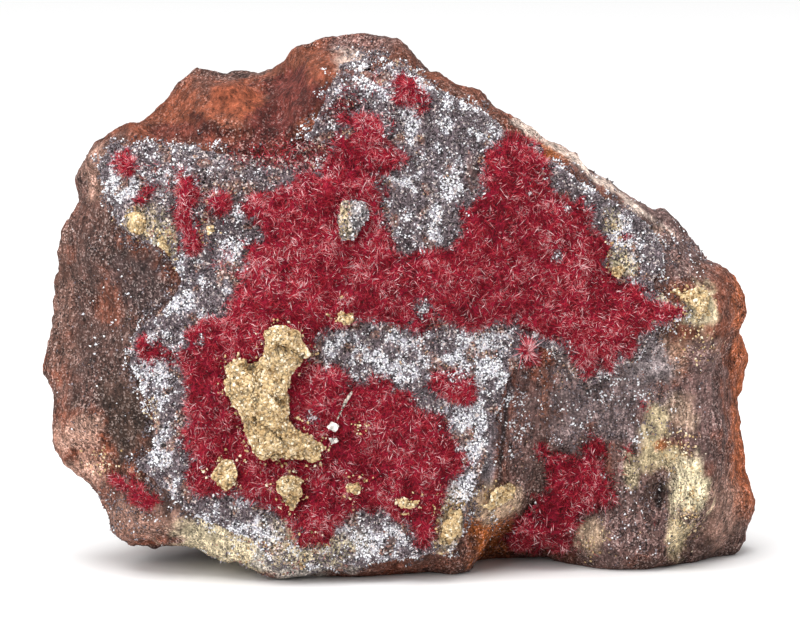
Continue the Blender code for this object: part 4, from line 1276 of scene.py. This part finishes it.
def build_mat(node, settings, rng, felt, fur, druse):
    """One mat: the matted felt under it, the needles on it, and crystals that come through it."""
    rim, loose = rim_tree(node), tree_of(LOOSE_BITS)

    def bare(places):
        inside = mat_share(places, -gaps_to(rim, places, 2 * MAT_WANDER))
        return np.maximum(peeping(places), 1 - inside)

    def felted(places):
        return (1 - bare(places)) * (gaps_to(loose, places, 1.0) > 0.8)

    def glinting(places):
        return felted(places) * smooth_step(0.36 + 1.7 * noise_at(places, "mats, glints"))

    bed = build_felt(node, bare, loose)
    dress(bed, felt, "chalcotrichite", node)
    spots = outward_spots(bed, settings.needles_per_square_mm, felted, rng)
    set_needles(node + "_needles", 0, *spots, settings, fur, rng, node)
    spots = outward_spots(bed, settings.glints_per_square_mm, glinting, rng)
    set_needles(node + "_glints", 1, *spots, settings, fur, rng, node)
    crystals = bpy.context.scene.specimen_druse
    cover = 0.1 if node in MAT_GROUNDS else 1.2
    places, outward = outward_spots(bed, cover * crystals.crystals_per_square_mm, bare, rng)
    if len(places):
        light = np.clip(druse_light(places) + 0.3 * peeping(places), 0, 1)
        set_crystals(node + "_crystals", crystal_model(), places + 0.1 * outward, outward, crystals,
                     druse, rng, light)


def set_needles(name, bends, places, outward, settings, fur, rng, *nodes):
    """Needles at the places: short straight ones that make the felt or, bent, the bright glints on top, which
    are painted highlights.
    """
    count = len(places)
    if count == 0:
        return
    heading = 3.0 * math.pi * noise_at(places, "needles, heading") + 0.9 * rng.standard_normal(count)
    lift = np.radians(10 + 45 * rng.random(count) ** 1.3)
    lengths = settings.needle_length / MM * (0.5 + rng.random(count))
    widths = settings.needle_width / MM * (0.7 + 0.6 * rng.random(count))
    tones = needle_tones(places, rng)
    if bends:
        lengths, lift = lengths * (0.5 + 0.9 * rng.random(count) ** 2), lift * 0.8
        widths *= 1.35
        # Glints: needles painted nearly white, as painted highlights of light on the needles
        tones = 0.93 + 0.12 * rng.standard_normal(count)
    roots, axes = places - 0.12 * outward, leaning(outward, heading, lift)
    loose, reach = tree_of(LOOSE_BITS), axes * lengths[:, None]
    kept = ~hides(loose, roots + reach) & ~hides(loose, roots + 0.5 * reach)
    dressed_copies(name, needle_model(bends), (roots[kept], axes[kept]), (widths[kept], lengths[kept]),
                   tones[kept], rng, fur, "chalcotrichite", *nodes)


def needle_tones(places, rng):
    """How pale each needle is: deeper in the hollows of the felt, where shade is painted into the tone."""
    # Painted shade: needles are deeper in tone where the felt is dented
    tones = 0.38 - 0.85 * (mat_dents(places) - 0.5) + 0.25 * rng.standard_normal(len(places))
    tones += 0.16 * noise_at(places, "needles, tone")
    wander = noise_at(places, "needles, shifts")
    return tones + np.sum(patch_values(places, MAT_TONES.values(), 0.8, wander), axis=0)


def build_mats(settings):
    """All the mats, the needles that stray from them, and the spray."""
    rng = np.random.default_rng(SEEDS["mats"])
    felt, fur, druse = felt_material(), fur_material(settings), crystal_material()
    for node in MATS:
        build_mat(node, settings, rng, felt, fur, druse)
    build_strays(settings, rng, fur)
    build_spray(settings, rng, fur)


def build_strays(settings, rng, fur):
    """Needles where the mats' edges wander out of their solids, and the sparse tufts on druse and stone."""
    mats, coats = tree_of(MATS), tree_of(ON_DRUSE)

    def chance(places):
        wander = noise_at(places, "strays, tufts")
        tufts = np.max(patch_values(places, TUFTS.values(), 0.7, wander), axis=0)
        share = mat_share(places, gaps_to(mats, places, MAT_WANDER))
        return np.maximum(share, tufts / settings.needles_per_square_mm)

    for ground in ("druse_bed", "stone"):
        piece = bpy.data.objects[ground]
        places, outward = outward_spots(piece, settings.needles_per_square_mm, chance, rng)
        seen = in_the_open(coats, places)
        set_needles("stray_needles_" + ground, 0, places[seen], outward[seen], settings, fur, rng)


def build_spray(settings, rng, fur):
    """The spray: long needles, painted pale as highlights, that stand out of one point all round."""
    heart = spray_heart(points_of(bpy.data.objects["mat_spray_felt"]))
    axes = rng.standard_normal((SPRAY_NEEDLES, 3))
    axes -= 0.5 * (axes @ TO_VIEWER)[:, None] * TO_VIEWER
    axes /= np.linalg.norm(axes, axis=1)[:, None]
    axes *= np.sign(axes @ TO_VIEWER + 0.25)[:, None]
    lengths = settings.needle_length / MM * (1.0 + 1.7 * rng.random(SPRAY_NEEDLES) ** 1.5)
    widths = np.full(SPRAY_NEEDLES, settings.needle_width / MM * 1.1)
    # Painted highlights: the spray's needles are toned pale, near the glints
    tones = 0.85 + 0.15 * rng.standard_normal(SPRAY_NEEDLES)
    places = heart + 0.25 * rng.standard_normal((SPRAY_NEEDLES, 3))
    dressed_copies("spray_needles", needle_model(1), (places, axes), (widths, lengths), tones, rng, fur,
                   "chalcotrichite", "mat_spray")


def spray_heart(points):
    """The point of the spray's felt that is nearest to its heart in the view, and well to the front."""
    u, depth, v = to_view(points)
    away = (u - SPRAY_HEART[0]) ** 2 + (v - SPRAY_HEART[1]) ** 2
    return points[np.argmin(away + 0.05 * (depth - depth.min()) ** 2)]


# The ochre

def build_ochre(settings):
    """The lumps of ochre, crumbly earth with grains on it, and the crumbs that lie about them."""
    rng = np.random.default_rng(SEEDS["ochre"])
    earth, grains, model = stone_material("limonite_earth"), crumb_material(), crumb_model()
    for node in OCHRES:
        bed = build_earth(node)
        spots = outward_spots(bed, settings.crumbs_per_square_mm, everywhere, rng)
        set_crumbs(node + "_crumbs", model, *spots, settings, grains, rng, node)
        dress(bed, earth, "ochre", node)
    build_dust(settings, model, grains, rng)


def build_earth(node):
    """The earth of one lump: crumbling and cracked, with ragged sides, and darker in its hollows and cracks,
    where shade is painted.
    """
    bed = fine_copy(node + "_earth", node, *MESHES["ochre"])
    points, normals = points_of(bed), normals_of(bed)
    crumble = 0.35 * noise_at(points, "ochre, crumble") - 0.8 * cells_at(points, "ochre") ** 2
    crumble -= 0.8 * ochre_cracks(points)
    sides = 1 - np.abs(normals @ TO_VIEWER)
    ragged = sides * np.clip(1.3 * noise_at(points, "ochre, sides"), -0.8, 0)
    points += normals * np.clip(crumble + 0.05 + ragged, -1.2, -0.1)[:, None]
    move_to(bed, rooted(points, normals, tree_of(["matrix", "druse_lining"] + MATS), 1.0))
    ground = 0.85 * pigment_of("ochre") * ochre_tone(points)[:, None]
    # Painted shade: darker where the earth crumbles in or cracks
    ground *= 1 - 0.5 * smooth_step((-crumble - 0.25) / 0.4)[:, None]
    ground[:, 3] = 1
    paint(bed, ground)
    return bed


def ochre_tone(points):
    """How light the earth is at each point, about 1: in patches a few millimetres wide."""
    shades = np.sum(patch_values(points, OCHRE_SHADES.values(), 0.8), axis=0)
    return np.clip(1 + 0.45 * noise_at(points, "ochre, tone") + shades, 0.6, 1.4)


def ochre_cracks(points):
    """How much of a crack each point of the ochre has, from 0 to 1."""
    u, _, v = to_view(points)
    gaps = np.min([from_line(u, v, line) for line in OCHRE_CRACKS], axis=0)
    return 1 - smooth_step((gaps + 0.3 * noise_at(points, "ochre, cracks") - 0.15) / 0.35)


def set_crumbs(name, model, places, outward, settings, grains, rng, *nodes, fineness=1.0):
    """Ochre crumbs at the places, partly sunk; dust has a fineness below 1."""
    count = len(places)
    axes = leaning(outward, rng.random(count) * 2 * math.pi, np.radians(60 + 30 * rng.random(count)))
    widths = fineness * settings.crumb_width / MM * (0.5 + 1.1 * rng.random(count) ** 2)
    tones = 0.54 + 0.9 * (ochre_tone(places) - 1) + 0.29 * rng.standard_normal(count)
    spots = (places - 0.3 * widths[:, None] * outward, axes)
    dressed_copies(name, model, spots, (widths, widths), tones, rng, grains, "ochre", *nodes)


def build_dust(settings, model, grains, rng):
    """Crumbs about the lumps and in the banks of dust, on whatever lies open there."""
    lumps, mats, coats = tree_of(OCHRES), tree_of(ON_DRUSE), tree_of(COATS)

    def chance(places):
        wander = noise_at(places, "dust, edge")
        beside = smooth_step((0.75 + 1.5 * wander - gaps_to(lumps, places, 2.5)) / 0.8)
        banks = np.max(patch_values(places, OCHRE_DUST.values(), 0.8, wander), axis=0)
        return np.maximum(DUST_COVER * beside, banks / settings.crumbs_per_square_mm)

    for ground, cover, lift in (("mat_main_felt", lumps, 0.45), ("druse_bed", mats, 0), ("stone", coats, 0)):
        places, outward = outward_spots(bpy.data.objects[ground], settings.crumbs_per_square_mm, chance, rng)
        seen = in_the_open(cover, places)
        places, outward = places[seen], outward[seen]
        set_crumbs("ochre_dust_on_" + ground, model, places + lift * outward, outward, settings, grains, rng,
                   fineness=0.8)


# The loose bits

def build_chips():
    """The grey chip, the two white grains and the sliver."""
    build_chip()
    calcite = stone_material("calcite_cleaved")
    for node in GRAINS:
        build_grain(node, calcite)
    build_sliver()


def build_chip():
    """The chip: grey stone that is tan on its left, with a few crystals."""
    chip = fine_copy("grey_chip", "stone_chip", *MESHES["chip"])
    points, normals = points_of(chip), normals_of(chip)
    points += normals * np.clip(0.5 * noise_at(points, "chip, relief") + 0.1, -0.35, 0.12)[:, None]
    move_to(chip, points)
    left = smooth_step((-to_view(points)[0] - 5.6 + 0.8 * noise_at(points, "chip, stain")) / 1.2)
    paint(chip, blend(pigment_of("chip grey"), pigment_of("chip tan"), left))
    dress(chip, stone_material("grey_stone_chip"), "greystone", "stone_chip")
    crystals, rng = bpy.context.scene.specimen_druse, np.random.default_rng(SEEDS["chip"])
    places, outward = outward_spots(chip, 0.3 * crystals.crystals_per_square_mm, everywhere, rng)
    dim = 0.4 * smooth_step(to_view(places)[0] + 6.4)
    set_crystals("chip_crystals", crystal_model(), places, outward, crystals, crystal_material(), rng, dim)


def build_grain(node, calcite):
    """One white grain, cleaved into small steps."""
    grain = fine_copy(node + "_cleaved", node, *MESHES["grain"])
    points, normals = points_of(grain), normals_of(grain)
    cleavage = -0.25 * cells_at(points, "calcite") + 0.06 * noise_at(points, "calcite, relief")
    move_to(grain, points + normals * cleavage[:, None])
    paint(grain, pigment_of("calcite"))
    dress(grain, calcite, "calcite", node)


def build_sliver():
    """The sliver: a thin grey splinter."""
    sliver = fine_copy("stone_sliver", "sliver", *MESHES["sliver"])
    points, normals = points_of(sliver), normals_of(sliver)
    relief = np.clip(0.1 * noise_at(points, "sliver, relief"), -0.06, 0.05)
    move_to(sliver, points + normals * relief[:, None])
    paint(sliver, pigment_of("sliver"))
    dress(sliver, stone_material("grey_stone_sliver"), "greystone", "sliver")


# The stage

def build_stage(settings):
    """The floor, the lights and the camera."""
    build_floor(settings)
    world = bpy.data.worlds.new("studio")
    world.use_nodes = True
    bpy.context.scene.world = world
    sky = world.node_tree.nodes["Background"]
    sky.inputs[0].default_value = (1, 1, 1, 1)
    sky.inputs[1].default_value = settings.fill
    add_lamp("overhead_softbox", (-0.15, -0.35, 1.1), 0.9, settings.key)
    add_lamp("front_softbox", (-0.7, -1.2, 0.7), 0.7, settings.front)
    build_camera()


def build_floor(settings):
    """The matt board that the specimen stands on."""
    deselect_all()
    bpy.ops.mesh.primitive_plane_add(size=8, location=(0, 0, 0))
    floor = bpy.context.object
    floor.name = "floor"
    material, tree = new_material("matt_white_board")
    finish_with(tree, {"Base Color": (*settings.floor_colour, 1), "Roughness": 0.8})
    floor.data.materials.append(material)


def build_camera():
    """The camera, which looks down a little on the open face."""
    camera = bpy.data.cameras.new("view_of_the_face")
    camera.lens = CAMERA_LENS
    camera.clip_start = 0.05
    camera.shift_x, camera.shift_y = CAMERA_SHIFT
    holder = bpy.data.objects.new("view_of_the_face", camera)
    bpy.context.scene.collection.objects.link(holder)
    away = VIEW_DISTANCE * MM
    holder.location = (
        CENTRED_BY[0] * MM,
        FRONT_Y * MM - away + CENTRED_BY[1] * MM,
        VIEW_HEIGHT * MM + away * math.tan(VIEW_TILT),
    )
    holder.rotation_euler = (math.pi / 2 - VIEW_TILT, 0, 0)
    bpy.context.scene.camera = holder
    bpy.context.scene.view_settings.view_transform = "Standard"


def add_lamp(name, place, size, power):
    """A square softbox that faces the specimen."""
    lamp = bpy.data.lights.new(name, "AREA")
    lamp.size = size
    lamp.energy = power
    holder = bpy.data.objects.new(name, lamp)
    bpy.context.scene.collection.objects.link(holder)
    holder.location = place
    holder.rotation_euler = (Vector((0, 0, 0.03)) - Vector(place)).to_track_quat("-Z", "Y").to_euler()


# Settings that a user would change

class StoneSettings(bpy.types.PropertyGroup):
    voxel: FloatProperty(name="Mesh size", description="Spacing of the stone's fine mesh",
                         default=0.5 * MM, unit="LENGTH", precision=5)
    relief: FloatProperty(name="Relief", description="Depth of the stone's broken surface",
                          default=0.55 * MM, unit="LENGTH", precision=5)


class DruseSettings(bpy.types.PropertyGroup):
    crystals_per_square_mm: FloatProperty(
        name="Crystals per mm²", description="How dense the crystals on the face are", default=22.0)
    crystal_width: FloatProperty(name="Crystal width", description="Width of a druse crystal",
                                 default=0.25 * MM, unit="LENGTH", precision=5)
    glitter: FloatProperty(name="Glitter", subtype="FACTOR", default=0.1,
                           description="Share of the druse's crystals on bare stone, where its glitter is 1")


class MatSettings(bpy.types.PropertyGroup):
    needle_length: FloatProperty(name="Needle length", description="Length of a middling needle",
                                 default=0.95 * MM, unit="LENGTH", precision=5)
    needle_width: FloatProperty(name="Needle width", description="Width of a needle at its root",
                                default=0.09 * MM, unit="LENGTH", precision=5)
    needles_per_square_mm: FloatProperty(name="Needles per mm²", description="How dense the needles are",
                                         default=51.0)
    glints_per_square_mm: FloatProperty(name="Glints per mm²", default=6.0,
                                        description="How many bright needles lie on the mats")
    shade_colour: FloatVectorProperty(name="Shade red", description="Needles deep in the felt",
                                      subtype="COLOR", default=linear("#38040E")[:3])
    deep_colour: FloatVectorProperty(name="Deep red", description="Needles in the shade of the felt",
                                     subtype="COLOR", default=linear("#880E21")[:3])
    body_colour: FloatVectorProperty(name="Body red", description="Most needles", subtype="COLOR",
                                     default=linear("#C21E32")[:3])
    pale_colour: FloatVectorProperty(name="Pale red", description="Needles that face the light",
                                     subtype="COLOR", default=linear("#E24C5C")[:3])
    painted_glint_colour: FloatVectorProperty(name="Glint", description="The few brightest needles",
                                      subtype="COLOR", default=linear("#FBD2D4")[:3])


class OchreSettings(bpy.types.PropertyGroup):
    crumbs_per_square_mm: FloatProperty(name="Crumbs per mm²", description="How dense the crumbs are",
                                        default=13.0)
    crumb_width: FloatProperty(name="Crumb width", description="Width of a crumb",
                               default=0.34 * MM, unit="LENGTH", precision=5)


class StageSettings(bpy.types.PropertyGroup):
    floor_colour: FloatVectorProperty(name="Floor", description="Colour of the board", subtype="COLOR",
                                      default=(0.9, 0.9, 0.9))
    key: FloatProperty(name="Overhead light", description="Power of the overhead softbox",
                       default=14.0, unit="POWER")
    front: FloatProperty(name="Front light", description="Power of the front softbox",
                         default=9.0, unit="POWER")
    fill: FloatProperty(name="Fill", description="Strength of the light from all round", default=0.75)


# One operator for each group of pieces

class SPECIMEN_OT_stone(bpy.types.Operator):
    """Build the iron-stained stone"""
    bl_idname = "specimen.stone"
    bl_label = "Stone"

    def execute(self, context):
        build_stone(context.scene.specimen_stone)
        return {"FINISHED"}


class SPECIMEN_OT_druse(bpy.types.Operator):
    """Build the crystal lining of the face"""
    bl_idname = "specimen.druse"
    bl_label = "Druse"

    def execute(self, context):
        build_druse(context.scene.specimen_druse)
        return {"FINISHED"}


class SPECIMEN_OT_mats(bpy.types.Operator):
    """Build the mats of red needles"""
    bl_idname = "specimen.mats"
    bl_label = "Needle mats"

    def execute(self, context):
        build_mats(context.scene.specimen_mats)
        return {"FINISHED"}


class SPECIMEN_OT_ochre(bpy.types.Operator):
    """Build the lumps of ochre"""
    bl_idname = "specimen.ochre"
    bl_label = "Ochre"

    def execute(self, context):
        build_ochre(context.scene.specimen_ochre)
        return {"FINISHED"}


class SPECIMEN_OT_chips(bpy.types.Operator):
    """Build the chip, the white grains and the sliver"""
    bl_idname = "specimen.chips"
    bl_label = "Chips and grains"

    def execute(self, context):
        build_chips()
        return {"FINISHED"}


class SPECIMEN_OT_stage(bpy.types.Operator):
    """Set up the floor, the lights and the camera"""
    bl_idname = "specimen.stage"
    bl_label = "Stage"

    def execute(self, context):
        build_stage(context.scene.specimen_stage)
        return {"FINISHED"}


class SPECIMEN_PT_panel(bpy.types.Panel):
    """Lists the steps that dress the specimen"""
    bl_idname = "SPECIMEN_PT_panel"
    bl_label = "Chalcotrichite specimen"
    bl_space_type = "VIEW_3D"
    bl_region_type = "UI"
    bl_category = "Specimen"

    def draw(self, context):
        for operator in OPERATORS:
            self.layout.operator(operator.bl_idname)
        for place, group in SETTINGS.items():
            box = self.layout.box()
            for key in group.__annotations__:
                box.prop(getattr(context.scene, place), key)


SETTINGS = {
    "specimen_stone": StoneSettings,
    "specimen_druse": DruseSettings,
    "specimen_mats": MatSettings,
    "specimen_ochre": OchreSettings,
    "specimen_stage": StageSettings,
}
OPERATORS = [
    SPECIMEN_OT_stone, SPECIMEN_OT_druse, SPECIMEN_OT_mats, SPECIMEN_OT_ochre, SPECIMEN_OT_chips,
    SPECIMEN_OT_stage,
]


def register():
    """Makes the settings, operators and panel known."""
    for place, group in SETTINGS.items():
        bpy.utils.register_class(group)
        setattr(bpy.types.Scene, place, PointerProperty(type=group))
    for operator in OPERATORS:
        bpy.utils.register_class(operator)
    bpy.utils.register_class(SPECIMEN_PT_panel)


def unregister():
    """Takes back what register did."""
    bpy.utils.unregister_class(SPECIMEN_PT_panel)
    for operator in reversed(OPERATORS):
        bpy.utils.unregister_class(operator)
    for place, group in SETTINGS.items():
        delattr(bpy.types.Scene, place)
        bpy.utils.unregister_class(group)


def main():
    """Dresses the specimen."""
    register()
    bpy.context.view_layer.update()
    bpy.ops.specimen.stage()
    bpy.ops.specimen.stone()
    bpy.ops.specimen.druse()
    bpy.ops.specimen.mats()
    bpy.ops.specimen.ochre()
    bpy.ops.specimen.chips()


if __name__ == "__main__":
    main()
